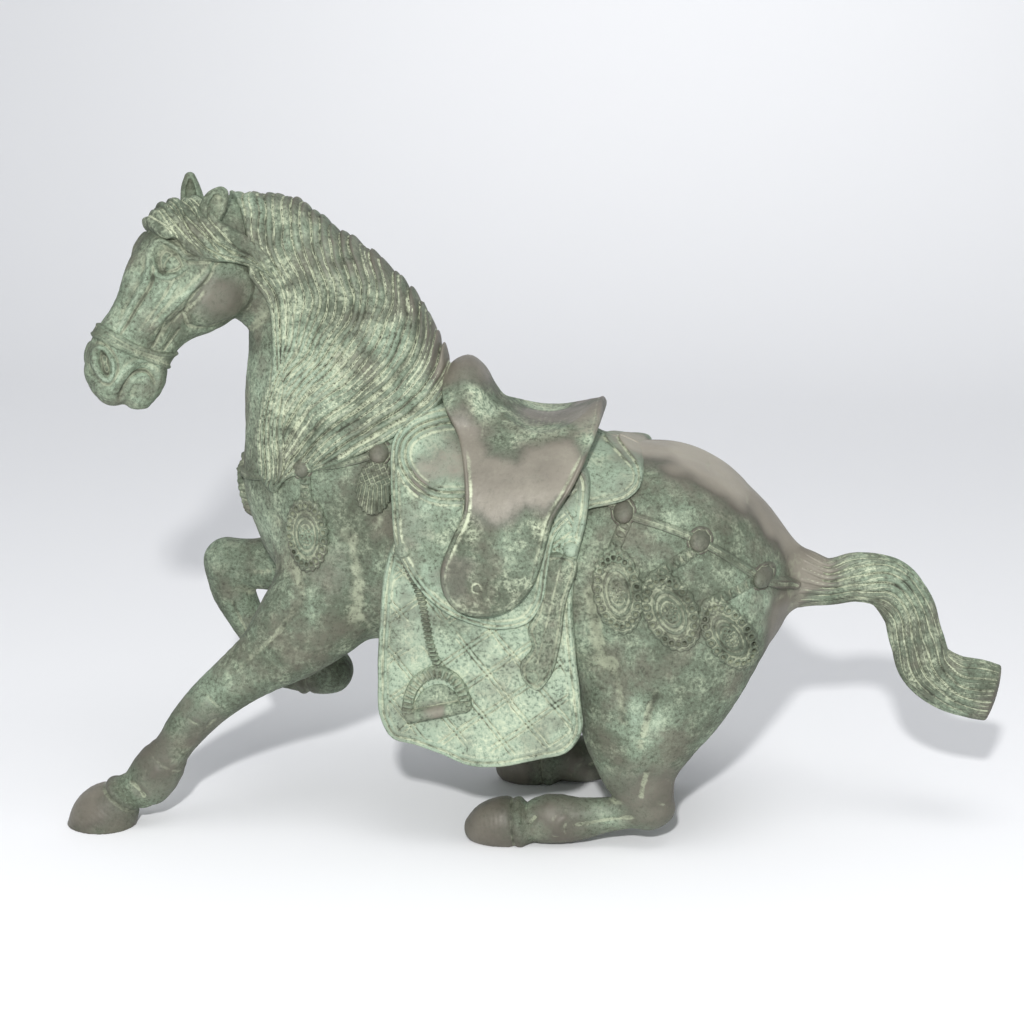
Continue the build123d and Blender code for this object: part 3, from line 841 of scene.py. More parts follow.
def ringed(verts, quads, start, end, coronet):
    """Growth rings and a coronet ridge round a hoof, whose axis runs from start to end."""
    axis = unit(np.array(end, float) - np.array(start, float))
    place = (verts - np.array(start, float)) @ axis
    height = 0.05 * np.sin(place * 1.9) + 1.5 * bump(place - coronet, 2.6) - 1.1 * bump(place - coronet - 4.5, 1.8)
    return verts + vertex_normals(verts, quads) * height[:, None]


# ---------------------------------------------------------------- hair
MANE_GUIDES = [
    [(-193, 440), (-189, 426), (-186, 406), (-178, 389), (-171, 372), (-169, 352)],
    [(-177, 439), (-170, 423), (-163, 398), (-159, 373), (-159, 345), (-169, 323)],
    [(-151, 434), (-143, 413), (-137, 387), (-137, 360), (-146, 337), (-167, 314), (-176, 290), (-181, 269)],
    [(-126, 425), (-117, 400), (-112, 375), (-116, 348), (-132, 327), (-155, 304), (-170, 278), (-177, 253)],
    [(-105, 411), (-94, 385), (-92, 358), (-99, 335), (-118, 315), (-145, 296), (-162, 271), (-172, 246)],
    [(-87, 391), (-78, 367), (-79, 342), (-90, 320), (-110, 303), (-136, 286), (-155, 264)],
    [(-72, 368), (-67, 345), (-71, 325), (-84, 308), (-106, 293), (-129, 279), (-145, 264)],
    [(-58, 341), (-57, 323), (-65, 308), (-81, 295), (-102, 284), (-122, 273)],
]
MANE_EDGE = [
    (-214, 452), (-208, 432), (-197, 408), (-187, 388), (-178, 370), (-175, 350), (-176, 326), (-184, 296),
    (-187, 268), (-181, 248), (-171, 242), (-160, 254), (-148, 258), (-124, 267), (-98, 278), (-76, 290),
    (-58, 302), (-46, 324), (-44, 350), (-60, 392), (-96, 432), (-140, 456),
]  # fmt: skip
STRANDS = 4.2  # ridges from one guide to the next


def longer(line, reach=60.0):
    """A line run on straight past both its ends."""
    first, last = line[0] - line[1], line[-1] - line[-2]
    start = line[0] + first / np.linalg.norm(first) * reach
    end = line[-1] + last / np.linalg.norm(last) * reach
    return np.vstack([start, line, end])


def strands_between(guides, u, v):
    """Which strand each place lies on, counted in guides from the front."""
    sides = []
    for guide in guides:
        gap, turn, _ = line_gap(u, v, longer(smooth_line(guide, 30)))
        sides.append(-gap * turn)
    total = -np.clip(-sides[0] / 20, 0, 2)
    for near, far in zip(sides[:-1], sides[1:]):
        total += np.clip(near / np.maximum(near - far, 2.0), 0, 1)
    return total + np.clip(sides[-1] / 14, 0, 2)


def ridges(strand, u, v, count, height, spacing=4.0, seed=0.0):
    """Locks of hair: ridges with finer ones on them, each with its own height. They wander a little and merge where
    they crowd.
    """
    places = np.stack([u, v, np.full(u.shape, seed)], 1)
    wander = 0.85 * noise(places, 34) + 0.25 * noise(places, 12)
    strand = strand + wander / count

    def comb(number):
        place = strand * number
        index = np.floor(place).astype(np.int64)
        own = lattice(index, np.int64(3), np.int64(int(seed) + 5))
        return np.abs(np.sin(np.pi * place)) ** 0.8 * (0.55 + 0.65 * own)

    crowded = smoothstep(2.6, 4.2, spacing)
    strands = comb(count) * crowded + comb(count / 2 + 0.07) * (1 - crowded)
    locks = comb(count / 2.9 + 0.11)
    fine = np.abs(np.sin(np.pi * strand * count * 2)) * crowded
    return height * (0.75 * strands + 0.6 * locks + 0.12 * fine)


MANE_LOW, MANE_HIGH = (-215, 232), (-34, 462)


def hair_heights(guides, count, height, u, v, seed=0.0):
    """Locks that follow the guides, thinned out where the guides crowd."""
    strand = strands_between(guides, u, v)
    across = strands_between(guides, u + 0.5, v) - strand
    along = strands_between(guides, u, v + 0.5) - strand
    spacing = 1 / np.maximum(2 * np.hypot(across, along) * count, 0.05)
    return ridges(strand, u, v, count, height, spacing, seed)


def mane_heights(u, v):
    crest = 1.6 * bump(np.hypot(u + 122, (v - 430) * 0.7), 34)
    return 1.7 + crest + hair_heights(MANE_GUIDES, STRANDS, 3.5, u, v)


FORELOCK_GUIDES = [
    [(101, 446), (98, 434), (94, 424), (89, 417), (84, 408)],
    [(86, 450), (84, 438), (82, 427), (78, 418), (70, 408), (58, 402.5), (45, 401), (33, 398), (23, 393), (13, 386)],
    [(76, 450), (73, 436), (72, 426), (68, 416), (59, 409), (47, 405), (34, 402), (23, 396), (13, 387.5)],
    [(64, 450), (63, 436), (61, 424), (56, 416), (46, 410), (35, 405), (24, 398), (13, 389)],
    [(50, 452), (54, 438), (53, 427), (45, 419), (34, 412), (24, 405), (17, 397), (12, 390)],
]
FORELOCK_STRANDS = 1.3
FORELOCK_EDGE = [
    (96, 441), (96, 431), (92, 422), (86, 416), (79, 416), (74, 409), (67, 404), (56, 400.5), (45, 399),
    (34, 396), (24, 391), (15, 385), (10, 387), (13, 396), (20, 406), (30, 415), (41, 422), (49, 428),
    (54, 438), (62, 454), (84, 456),
]  # fmt: skip


def forelock_heights(s, z):
    lobe = 1.6 * bump(np.hypot(s - 88, (z - 432) * 0.8), 12)
    return 2.2 + lobe + hair_heights(FORELOCK_GUIDES, FORELOCK_STRANDS, 3.4, s, z, 2.0)


TAIL = [
    (178, 0, 180, 22.5, 15.5), (190, 0, 178.5, 19, 13), (204, 0, 177, 15.5, 11), (226, 0, 181, 16, 11),
    (246, 0, 177, 17, 12), (260, 0, 160, 17, 13), (267, 0, 138, 17, 14), (275, 0, 118, 18, 14),
    (292, 0, 107, 19, 14), (310, 0, 103, 20, 13), (323, 0, 100, 19, 9),
]  # fmt: skip
TAIL_STRANDS = 17


def tail_mesh(around=192, along=230):
    """A tube round the tail's line, its locks twisting a little down its length."""
    rows = curve(TAIL, along)
    centre, a, b = rows[:, :3], rows[:, 3:4], rows[:, 4:5]
    heading = unit(np.gradient(centre, axis=0))
    up = np.cross(heading, Y)
    theta = np.linspace(0, 2 * np.pi, around, endpoint=False)[None, :]
    place = np.linspace(0, 1, along)[:, None]
    phase = TAIL_STRANDS * theta / 2 + 2.1 * np.sin(place * 7.5 + 0.6) + 0.7 * np.sin(place * 19 + 2 * theta)
    lock = np.abs(np.sin(phase)) ** 0.7 + 0.25 * np.abs(np.sin(2 * phase + 0.8 + 2 * np.sin(place * 11)))
    taper = smoothstep(0, 0.06, place)
    height = taper * (2.1 * lock - 1.1)
    end = np.sqrt(np.clip(1 - ((place - 0.985) / 0.015).clip(0, 1) ** 2, 0.2, 1))
    ring_a, ring_b = (a + height) * end, (b + height) * end
    verts = (
        centre[:, None, :]
        + up[:, None, :] * (ring_a * np.cos(theta))[..., None]
        + Y * (ring_b * np.sin(theta))[..., None]
    )
    verts = verts.reshape(-1, 3)
    i, j = np.meshgrid(np.arange(along - 1), np.arange(around), indexing="ij")
    k = (j + 1) % around
    quads = np.stack([i * around + j, (i + 1) * around + j, (i + 1) * around + k, i * around + k], -1).reshape(-1, 4)
    return capped(verts, quads, around, along)


def capped(verts, quads, around, along, rings=6):
    """Closes both ends of a tube with rings that shrink to a small square ring of faces."""
    verts, quads = [verts], [quads]
    count = len(verts[0])
    for first, flip in ((0, True), ((along - 1) * around, False)):
        edge = verts[0][first : first + around]
        middle = edge.mean(0)
        previous = np.arange(first, first + around)
        for n in range(1, rings + 1):
            verts.append(middle + (edge - middle) * max(1 - n / rings, 0.004))
            ring = np.arange(count, count + around)
            count += around
            faces = np.stack([previous, ring, np.roll(ring, -1), np.roll(previous, -1)], 1)
            quads.append(faces[:, ::-1] if flip else faces)
            previous = ring
    return np.vstack(verts), np.vstack(quads)


def ear_field(outer, inner):
    """An ear hollowed out by an inner form. Rows are as for on_head."""
    outer, inner = on_head(outer), on_head(inner)

    def field(p):
        h = to_head(p)
        d = outer(h)
        return -blend(-d, inner(h), 1.2)

    return field


FAR_EAR = (
    [(53, 15, 420, 10, 7.5), (54, 16, 434, 8.4, 6.8), (55, 16.5, 444, 6.4, 5.6), (55, 17, 450.5, 3.9, 3.7)],
    [(58, 9, 432, 5.5, 4), (57, 11, 441, 4, 3.5), (56, 13, 449, 1.5, 1.5)],
)
NEAR_EAR = (
    [(54, -15, 423, 8, 7), (52, -17, 432, 9, 7), (49, -18.5, 439, 8, 6.5), (46, -19, 443, 5.4, 5)],
    [(53, -25, 430, 5, 5), (52, -25, 436, 5.4, 4.6), (50, -24, 441, 3.4, 3.4)],
)

# ---------------------------------------------------------------- saddlery
DRAPE_X, DRAPE_HALF = (-110, -60, -10, 40, 90), (71, 77, 81, 83, 85)
DRAPE_TOP, DRAPE_GIRTH, DRAPE_HEM, DRAPE_FLARE = 286.0, 205.0, 40.0, 6.0
CLOTH_THICK, FLAP_THICK, SADDLE_THICK = 4.0, 4.0, 7.0


def drape(p):
    """The rounded back with hanging sides that the saddlery lies on."""
    half = np.interp(p[:, 0], DRAPE_X, DRAPE_HALF)
    y, z = np.abs(p[:, 1]), p[:, 2] - DRAPE_GIRTH
    size = np.hypot(y, z)
    k = np.hypot(y / half, z / (DRAPE_TOP - DRAPE_GIRTH)) + 1e-6
    hang = y - half + DRAPE_FLARE * z / (DRAPE_GIRTH - DRAPE_HEM)
    return np.where(z > 0, size - size / k, hang)


CLOTH = outline([
    (-78, 226), (-86, 216), (-91, 200), (-95, 163), (-97, 121), (-95, 92), (-88, 80), (-71, 76), (-53, 71),
    (-33, 64), (-12, 65), (15, 72), (34, 78), (43, 91), (42, 116), (38, 150), (36, 185), (39, 214),
    (44, 236), (44, 262), (-20, 266), (-66, 262),
])  # fmt: skip
FLAP = outline([
    (-30, 301), (-60, 302), (-79, 297), (-88, 284), (-89, 262), (-87, 240), (-84, 216), (-72, 193), (-56, 176),
    (-36, 166), (-12, 162), (8, 168), (17, 182), (21, 205), (26, 228), (42, 240), (58, 244), (72, 249),
    (80, 258), (79, 267), (68, 275), (52, 283), (20, 301),
])  # fmt: skip
SADDLE = outline([
    (-60, 314), (-57, 330), (-44, 337), (-24, 334), (12, 322), (40, 311), (47, 307), (49, 295), (43, 276),
    (34, 257), (24, 240), (17, 214), (10, 194), (-3, 179), (-22, 172), (-40, 175), (-50, 187), (-52, 200),
    (-45, 222), (-37, 242), (-38, 262), (-45, 284), (-55, 300),
])  # fmt: skip
SEAT_LINE = smooth_line([
    (-62, 316), (-53, 327), (-44, 330), (-35, 324), (-27, 310), (-18, 298), (-6, 290.5), (8, 287.5), (20, 289),
    (32, 293.5), (44, 300), (54, 305),
])  # fmt: skip
PANEL = smooth_line([
    (-40, 292), (-60, 292), (-73, 288), (-80, 281), (-81, 272), (-77, 263), (-69, 255), (-56, 250),
    (-38, 250),
])  # fmt: skip
CLOTH_BOSSES = [oval(-78, 213, 6.5, 6.5, 0), oval(35, 219, 5.5, 5.5, 0)]
PLAID_PITCH, PLAID_GAP = 22.0, 3.0


def plaid(u, v):
    """Grooves of a plaid of double lines, which fade here and there."""
    total = np.zeros(u.shape)
    places = np.stack([u, v, np.zeros(u.shape)], 1)
    kept = smoothstep(-0.75, -0.35, noise(places, 26))
    for degrees, offset in ((127, 4.0), (40, 9.0)):
        c, s = math.cos(math.radians(degrees)), math.sin(math.radians(degrees))
        place = u * c + v * s + offset + 0.6 * noise(places, 30)
        for line in (-PLAID_GAP / 2, PLAID_GAP / 2):
            gap = np.abs((place + line) % PLAID_PITCH - PLAID_PITCH / 2)
            total += bump(gap, 0.85)
    return total * kept


def boss_heights(u, v, bosses, height):
    """Domes in beaded collars."""
    total = np.zeros(u.shape)
    for boss in bosses:
        a, b, r, edge = boss(u, v)
        collar = (1.4 + 0.6 * np.cos(np.arctan2(b, a) * 9)) * bump(edge - 0.6, 1.2)
        total = np.maximum(total, np.maximum(height * dome(r / 0.96), collar))
    return total


def cloth_heights(u, v):
    """A plaid cloth with a bordered rim, and two bosses at its top."""
    rim = CLOTH(u, v)
    front = smoothstep(-50, -74, u)
    field = smoothstep(-7, -10, rim)
    places = np.stack([u, v, np.full(u.shape, 9.0)], 1)
    h = CLOTH_THICK + 0.8 * noise(places, 45) - 1.1 * plaid(u, v) * field
    h += 0.9 * bump(rim + 1.8, 1.3) + 0.6 * bump(rim + 6.0, 1.0) * (1 + front) - 0.5 * bump(rim + 4.0, 1.0)
    boss = boss_heights(u, v, CLOTH_BOSSES, 6.5)
    return np.where(boss > 0.3, np.maximum(h, CLOTH_THICK + boss), h)


def flap_heights(u, v):
    """A padded flap: beads along its rim, and a panel in front between two more."""
    rim = FLAP(u, v)
    gap, turn, _ = line_gap(u, v, PANEL)
    within = smoothstep(-1, 4, gap * turn) * (u < -38)
    h = CLOTH_THICK + FLAP_THICK - 1.4 + 0.4 * bump(rim + 3.2, 1.0)
    h += 1.4 * bump(rim + 1.4, 1.0) + 1.2 * bump(rim + 4.9, 0.9) - 0.6 * bump(rim + 3.1, 0.8)
    h += 1.6 * bump(gap, 1.2) + 1.3 * bump(gap - 3.8, 1.0) - 0.8 * bump(gap - 1.9, 0.9)
    return h + 0.8 * within


SEAT_MID_Z, SEAT_HALF_WIDTH = 256.0, 52.0


def seat_line(u):
    """Height of the seat's middle along the horse."""
    return np.interp(u, SEAT_LINE[:, 0], SEAT_LINE[:, 1])


def saddle_field(p):
    """A seat that dips along the horse and curves down across it into the skirts."""
    u, v = side_view(p)
    rim = SADDLE(u, v)
    y, z = p[:, 1], p[:, 2] - SEAT_MID_Z
    size = np.hypot(y, z)
    top = seat_line(u) - SEAT_MID_Z
    arch = size - size / (np.hypot(y / SEAT_HALF_WIDTH, z / top) + 1e-6)
    arch = np.where(z > 0, 0.8 * arch, np.abs(y) - SEAT_HALF_WIDTH)
    lip = smoothstep(-58, -44, u) * smoothstep(50, 40, u) * smoothstep(268, 284, v)
    bead = 1.3 * bump(rim + 2.0, 1.6) * smoothstep(205, 230, v) * smoothstep(292, 262, v)
    bead = (bead + 0.5 * bump(rim + 1.6, 1.2)) * (1 - lip)
    nub = 1.5 * dome(np.hypot(u + 27, v - 192) / 2.6)
    height = CLOTH_THICK + FLAP_THICK + SADDLE_THICK - 1.8
    cover = np.maximum(drape(p) - height, v - SEAT_MID_Z - top)
    d = blend(blend(arch, cover, 5), SKIN(p) - 2.5, 3) - bead - nub
    h = np.clip(0.5 + 0.5 * (d - rim) / 3.0, 0, 1)
    return rim + (d - rim) * h + 3.0 * h * (1 - h)


LEATHER = smooth_line([(-78, 208), (-66, 180), (-60, 150), (-55, 134)])
HANGING_STRAP = outline([
    (21, 216), (14, 186), (12, 176), (6, 162), (9, 152), (1, 138), (4, 127), (14, 121), (22, 130),
    (28, 150), (32, 180), (37, 214),
], count=90)  # fmt: skip
STIRRUP_ARC = smooth_line([
    (-76, 100), (-74, 112), (-67, 124), (-55, 130), (-44, 126), (-37, 116), (-35, 107),
])  # fmt: skip
STIRRUP_TREAD = [(-74, 97), (-37, 107)]
STIRRUP_FILL = outline([(-74, 98), (-70, 110), (-62, 119), (-52, 122), (-43, 117), (-38, 107)], count=60)


def leather_edge(u, v):
    gap, _, place = line_gap(u, v, LEATHER)
    return gap - 3.2 - 0.7 * np.sin(place * 2.1)


def leather_heights(u, v):
    gap, turn, place = line_gap(u, v, LEATHER)
    return CLOTH_THICK + 2.0 + 0.9 * np.sin(place * 2.1 + 0.5 * gap * turn) - 0.12 * gap**2


def stirrup_edge(u, v):
    arc = line_gap(u, v, STIRRUP_ARC)[0] - 4.4
    tread = line_gap(u, v, STIRRUP_TREAD)[0] - 4.0
    return np.minimum(np.minimum(arc, tread), STIRRUP_FILL(u, v))


def stirrup_heights(u, v):
    """A hatched arc over a rounded tread."""
    gap, _, place = line_gap(u, v, STIRRUP_ARC)
    hatch = 0.5 + 0.5 * np.sin(place * 1.6)
    h = CLOTH_THICK + 0.4 + (2.0 + 2.2 * hatch) * smoothstep(5.0, 3.0, gap)
    tread = line_gap(u, v, STIRRUP_TREAD)[0]
    return np.maximum(h, CLOTH_THICK + 6.0 * dome(tread / 4.4))


def strap_heights(u, v):
    rim = HANGING_STRAP(u, v)
    h = CLOTH_THICK + 2.6 + 0.7 * bump(rim + 1.4, 1.0) - 0.5 * bump(rim + 3.4, 0.9)
    h += 1.6 * dome(np.hypot(u - 10, v - 131) / 4)
    return h - 0.5 * (v > 140) * bump(np.abs(u - 22 - (v - 180) * 0.22), 1.0)


# ---------------------------------------------------------------- harness
# Oval pendants: centre x and z, half height, half width, lean in degrees, and the x and z that they hang from
LEAVES = {
    "breast_pendant_large": (-146, 218, 26, 16, 0, -147, 256),
    "breast_pendant_small": (-99, 252, 18, 12.5, 4, -96, 272),
    "rump_pendant_front": (66, 190, 30, 17, -8, 70, 236),
    "rump_pendant_middle": (101, 178, 29, 18, -25, 118, 220),
    "rump_pendant_rear": (140, 160, 30, 15, -33, 156, 195),
}
BREAST_BOSSES = [oval(-150, 263, 7.2, 7.2, 0), oval(-97, 274, 7.2, 7.2, 0)]
RUMP_BOSSES = [oval(68, 241, 7.2, 7.2, 0), oval(119, 224, 7.2, 7.2, 0), oval(161, 195, 7, 7, 0)]
BREAST_STRAP = smooth_line([
    (-86, 278), (-97, 274), (-122, 267), (-150, 262), (-172, 254), (-196, 248), (-216, 246),
])  # fmt: skip
RUMP_STRAP = smooth_line([(42, 256), (68, 241), (94, 234), (119, 224), (142, 209), (161, 194), (184, 179)])
STRAP_HALF, STRAP_HEIGHT = 2.8, 1.7


def beads(a, b, up, across, ring, count, radius):
    """Distance to the nearest of a ring of beads round an oval, and the bead's radius taken off."""
    best = np.full(a.shape, 1e9)
    for n in range(count):
        angle = 2 * math.pi * n / count
        best = np.minimum(best, np.hypot(a - across * ring * math.sin(angle), b - up * ring * math.cos(angle)))
    return best - radius


def leaf(x, z, up, across, lean, hang_x, hang_z):
    """Edge and heights of an oval pendant on a knotted hanger."""
    measure = oval(x, z, up, across, -lean)
    top = math.radians(lean)
    stem = [(x + math.sin(-top) * -up * 0.9, z + math.cos(top) * up * 0.9), (hang_x, hang_z)]

    def edge(u, v):
        a, b, _, rim = measure(u, v)
        lobes = 0.9 * np.cos(np.arctan2(a / across, b / up) * 22)
        return np.minimum(rim - lobes * 0.7, line_gap(u, v, stem)[0] - 4.2)

    def heights(u, v):
        a, b, r, _ = measure(u, v)
        h = 1.6 + 0.8 * dome(r) + 0.9 * bump((r - 0.97) * across, 1.3)
        h += 1.3 * bump((r - 0.34) * across, 0.8) + 1.2 * bump((r - 0.52) * across, 0.75)
        loops = beads(a, b, up, across, 0.79, 22, 2.1)
        h += 1.8 * bump(loops, 0.8) - 1.2 * bump(loops + 2.1, 1.0)
        middle = beads(a, b, up, across, 0.17, 7, 1.5)
        h += 1.6 * bump(np.minimum(middle, np.hypot(a, b) - 1.2), 0.9)
        gap, _, place = line_gap(u, v, stem)
        knot = (1.6 + 1.3 * np.sin(place * 1.1 + 0.8)) * smoothstep(4.4, 1.0, gap)
        cluster = 1.1 * bump(beads(u - stem[0][0], v - stem[0][1], 5.5, 7.5, 1.0, 7, 1.4), 1.0)
        return np.maximum(h, 1.0 + knot) + cluster

    return edge, heights


def acorn_heights(u, v):
    """The small breast pendant: a cap of strands over a pointed, ribbed leaf."""
    a, b, r, _ = oval(-99, 252, 18, 12.5, -4)(u, v)
    cap = smoothstep(2, 4, b)
    ribs = np.abs(np.sin(a * 1.15 + 0.02 * b * a))
    scales = np.abs(np.sin(a * 0.9 + b * 0.5)) * np.abs(np.sin(b * 0.8 - a * 0.4))
    return 1.8 + 2.0 * dome(r) + 1.4 * ribs * (1 - cap) + (0.8 + 1.8 * scales) * cap


def strap(line):
    """A strap along a line on the body, a little higher towards its edges."""

    def edge(u, v):
        return line_gap(u, v, line)[0] - STRAP_HALF

    def heights(u, v):
        return STRAP_HEIGHT + 0.6 * bump(line_gap(u, v, line)[0] - STRAP_HALF + 0.9, 0.7)

    return relief(SKIN, side_view, edge, heights, roll=1.2)


def union_edge(measures, grow):
    """The outline of several ovals together, grown by a margin."""
    return lambda u, v: np.minimum.reduce([measure(u, v)[3] for measure in measures]) - grow


NOSEBAND = outline([
    (146, 368), (133, 364), (119, 355), (105, 346), (91, 340), (76, 337), (60, 334), (62, 322), (78, 324),
    (92, 330), (105, 336), (120, 344), (136, 353), (148, 358),
], count=100)  # fmt: skip


def noseband_heights(s, z):
    rim = NOSEBAND(s, z)
    return 1.5 + 0.8 * bump(rim + 1.8, 1.1)


# ---------------------------------------------------------------- patina
class Value:
    """A number in a material. Sums and products of such numbers add nodes to the material's tree."""

    def __init__(self, tree, socket):
        self.tree, self.socket = tree, socket

    def maths(self, operation, other):
        made = self.tree.nodes.new("ShaderNodeMath")
        made.operation = operation
        self.link(made.inputs[0])
        if isinstance(other, Value):
            other.link(made.inputs[1])
        else:
            made.inputs[1].default_value = other
        return Value(self.tree, made.outputs["Value"])

    def __add__(self, other):
        return self.maths("ADD", other)

    def __sub__(self, other):
        return self.maths("SUBTRACT", other)

    def __mul__(self, other):
        return self.maths("MULTIPLY", other)

    def scaled(self, low, high, to_low=0.0, to_high=1.0):
        """Carried from the range low to high onto another, and held inside it."""
        made = self.tree.nodes.new("ShaderNodeMapRange")
        for name, value in {"From Min": low, "From Max": high, "To Min": to_low, "To Max": to_high}.items():
            made.inputs[name].default_value = value
        self.link(made.inputs["Value"])
        return Value(self.tree, made.outputs["Result"])

    def link(self, target):
        self.tree.links.new(self.socket, target)


def ramp(source, stops):
    """A colour for each value, from stops of place and colour."""
    made = source.tree.nodes.new("ShaderNodeValToRGB")
    while len(made.color_ramp.elements) < len(stops):
        made.color_ramp.elements.new(0.5)
    for element, (place, colour) in zip(made.color_ramp.elements, stops):
        element.position = place
        element.color = (*colour, 1)
    source.link(made.inputs["Fac"])
    return made.outputs["Color"]


def mixed(factor, a, b):
    """Colour a, and b over it as far as the factor says. Each is a socket or a fixed colour."""
    made = factor.tree.nodes.new("ShaderNodeMix")
    made.data_type = "RGBA"
    factor.link(made.inputs["Factor"])
    for n, colour in ((6, a), (7, b)):
        if isinstance(colour, tuple):
            made.inputs[n].default_value = (*colour, 1)
        else:
            factor.tree.links.new(colour, made.inputs[n])
    return made.outputs[2]


def speckles(tree, place, scale, detail, roughness):
    made = tree.nodes.new("ShaderNodeTexNoise")
    made.inputs["Scale"].default_value = scale
    made.inputs["Detail"].default_value = detail
    made.inputs["Roughness"].default_value = roughness
    tree.links.new(place, made.inputs["Vector"])
    return Value(tree, made.outputs["Fac"])


def attribute(tree, name):
    made = tree.nodes.new("ShaderNodeAttribute")
    made.attribute_name = name
    return Value(tree, made.outputs["Fac"])


# Speckles of each size: how many to a metre, their detail and roughness
BROAD, STAINS, PATCHES = (20, 5.0, 0.55), (34, 5.0, 0.6), (75, 6.0, 0.62)
FINE, GRAIN = (420, 5.0, 0.7), (1300, 3.0, 0.6)

OLIVE = (0.062, 0.072, 0.045)
GREY_GREEN = (0.102, 0.126, 0.085)
VERDIGRIS = (0.162, 0.208, 0.144)
MINT = (0.285, 0.365, 0.27)
CRUST = (0.56, 0.61, 0.43)
STAIN = (0.115, 0.105, 0.078)
# near-black green: real pits, and painted shade in recesses
DARK_PIT_AND_SHADE = (0.04, 0.045, 0.028)
BRONZE = (0.098, 0.087, 0.069)
# polished bronze, which on the croup top is also a painted highlight
BRIGHT_BRONZE_AND_HIGHLIGHT = (0.36, 0.325, 0.262)


def patina(name, green=0.5, rubbed_share=1.0, crust=0.5, depth=1.0, gloss=0.0, edges=0.25, mottle=0.8):
    """Cast bronze under verdigris.

    Recesses are painted dark, partly as dark patina and partly as painted shade; fine grooves hold pale crust, and
    rubbed places are brown and satin, the croup top painted brighter as a highlight.
    green: how light and green the patina is. rubbed_share: how readily it rubs off, and edges the same for edges.
    crust: how much pale crust there is. depth: how soon a recess is painted dark, as dark patina and painted shade.
    mottle: how uneven the green is.
    """
    material = bpy.data.materials.new(name)
    material.use_nodes = True
    tree = material.node_tree
    shader = tree.nodes["Principled BSDF"]
    place = tree.nodes.new("ShaderNodeTexCoord").outputs["Object"]
    near, wide, rub_and_light, pale = (attribute(tree, key) for key in ("near", "wide", "rub_and_light", "pale"))
    broad, stains, patches, fine, grain = (
        speckles(tree, place, *size) for size in (BROAD, STAINS, PATCHES, FINE, GRAIN)
    )

    # green, from olive to mint
    blotch = broad * 0.75 + patches * 0.25 + (fine - 0.5) * 0.55 + (grain - 0.5) * 0.25
    # the near term makes recesses a little darker and ridges a little lighter: partly patina tone, partly painted
    # shade following the relief
    blotch = blotch * mottle + 0.5 * (1 - mottle) + pale * 0.10 + near.scaled(-0.35, 0.35, 0.045, -0.045)
    centre = 0.5 - 0.12 * (green - 0.5)
    stops = [(centre - 0.14, OLIVE), (centre - 0.03, GREY_GREEN), (centre + 0.04, VERDIGRIS), (centre + 0.14, MINT)]
    colour = ramp(blotch, stops)

    # crust, stains and pits
    dust = (patches.scaled(0.48, 0.68) + pale * 0.65) * fine.scaled(0.42, 0.60)
    colour = mixed(dust * (0.8 * crust), colour, CRUST)
    colour = mixed(stains.scaled(0.48, 0.66) * (0.65 * rubbed_share), colour, STAIN)
    pits = fine.scaled(0.46, 0.36) * patches.scaled(0.62, 0.42)
    colour = mixed(pits * 0.7, colour, DARK_PIT_AND_SHADE)

    # bronze where it is rubbed, brighter where it is rubbed more; most on the croup top, where this brightness is a
    # painted highlight
    wear = (rub_and_light - pale * 0.35) * rubbed_share + (patches - 0.5) * 0.75 + (fine - 0.5) * 0.6
    wear = (wear + near.scaled(-0.06, -0.35) * edges).scaled(0.28, 0.90)
    polish_and_highlight = rub_and_light + (broad - 0.5) * 0.5
    bare = mixed(polish_and_highlight.scaled(0.75, 1.4), BRONZE, BRIGHT_BRONZE_AND_HIGHLIGHT)
    colour = mixed(wear * 0.92, colour, bare)

    # recesses painted dark, partly the dark patina of hollows and partly painted shade; and pale crust in fine grooves
    recess_shade = (wide + near * 1.5).scaled(0.10, 0.95 / depth)
    colour = mixed(recess_shade * 0.88, colour, DARK_PIT_AND_SHADE)
    line = near.scaled(0.015, 0.12) * near.scaled(0.55, 0.2) * patches.scaled(0.36, 0.54) * fine.scaled(0.30, 0.48)
    colour = mixed(line * (0.8 * crust), colour, CRUST)
    tree.links.new(colour, shader.inputs["Base Color"])

    # surface
    rough = wear.scaled(0.0, 1.0, 0.76, 0.52 - gloss) + (fine - 0.5) * 0.25
    rough.link(shader.inputs["Roughness"])
    wear.scaled(0.2, 1.0, 0.0, 0.15).link(shader.inputs["Metallic"])
    bumped = tree.nodes.new("ShaderNodeBump")
    bumped.inputs["Distance"].default_value = 0.001
    wear.scaled(0.0, 1.0, 0.8, 0.2).link(bumped.inputs["Strength"])
    (fine * 0.8 + grain * 0.4 + patches * 0.6).link(bumped.inputs["Height"])
    tree.links.new(bumped.outputs["Normal"], shader.inputs["Normal"])
    return material


MATERIALS = {
    "body_bronze": patina("body_patina", green=0.38, rubbed_share=1.0, crust=0.5, mottle=0.6),
    "hair_bronze": patina("hair_patina", green=0.42, rubbed_share=0.9, crust=1.0, depth=1.7, edges=0.4, mottle=0.55),
    "saddle_bronze": patina("saddle_patina", green=0.3, rubbed_share=0.95, crust=1.0, gloss=0.06, mottle=0.55),
    "cloth_bronze": patina("cloth_patina", green=1.35, rubbed_share=0.75, crust=0.9, mottle=0.6),
    "harness_bronze": patina("harness_patina", green=0.1, rubbed_share=1.0, crust=0.6, depth=1.6, edges=0.6, mottle=0.4),
    "hoof_bronze": patina("hoof_patina", green=0.2, rubbed_share=1.0, crust=0.3, gloss=0.05),
    "raw_bronze": patina("raw_cast_bronze", green=0.0, rubbed_share=1.3, crust=0.0),
}

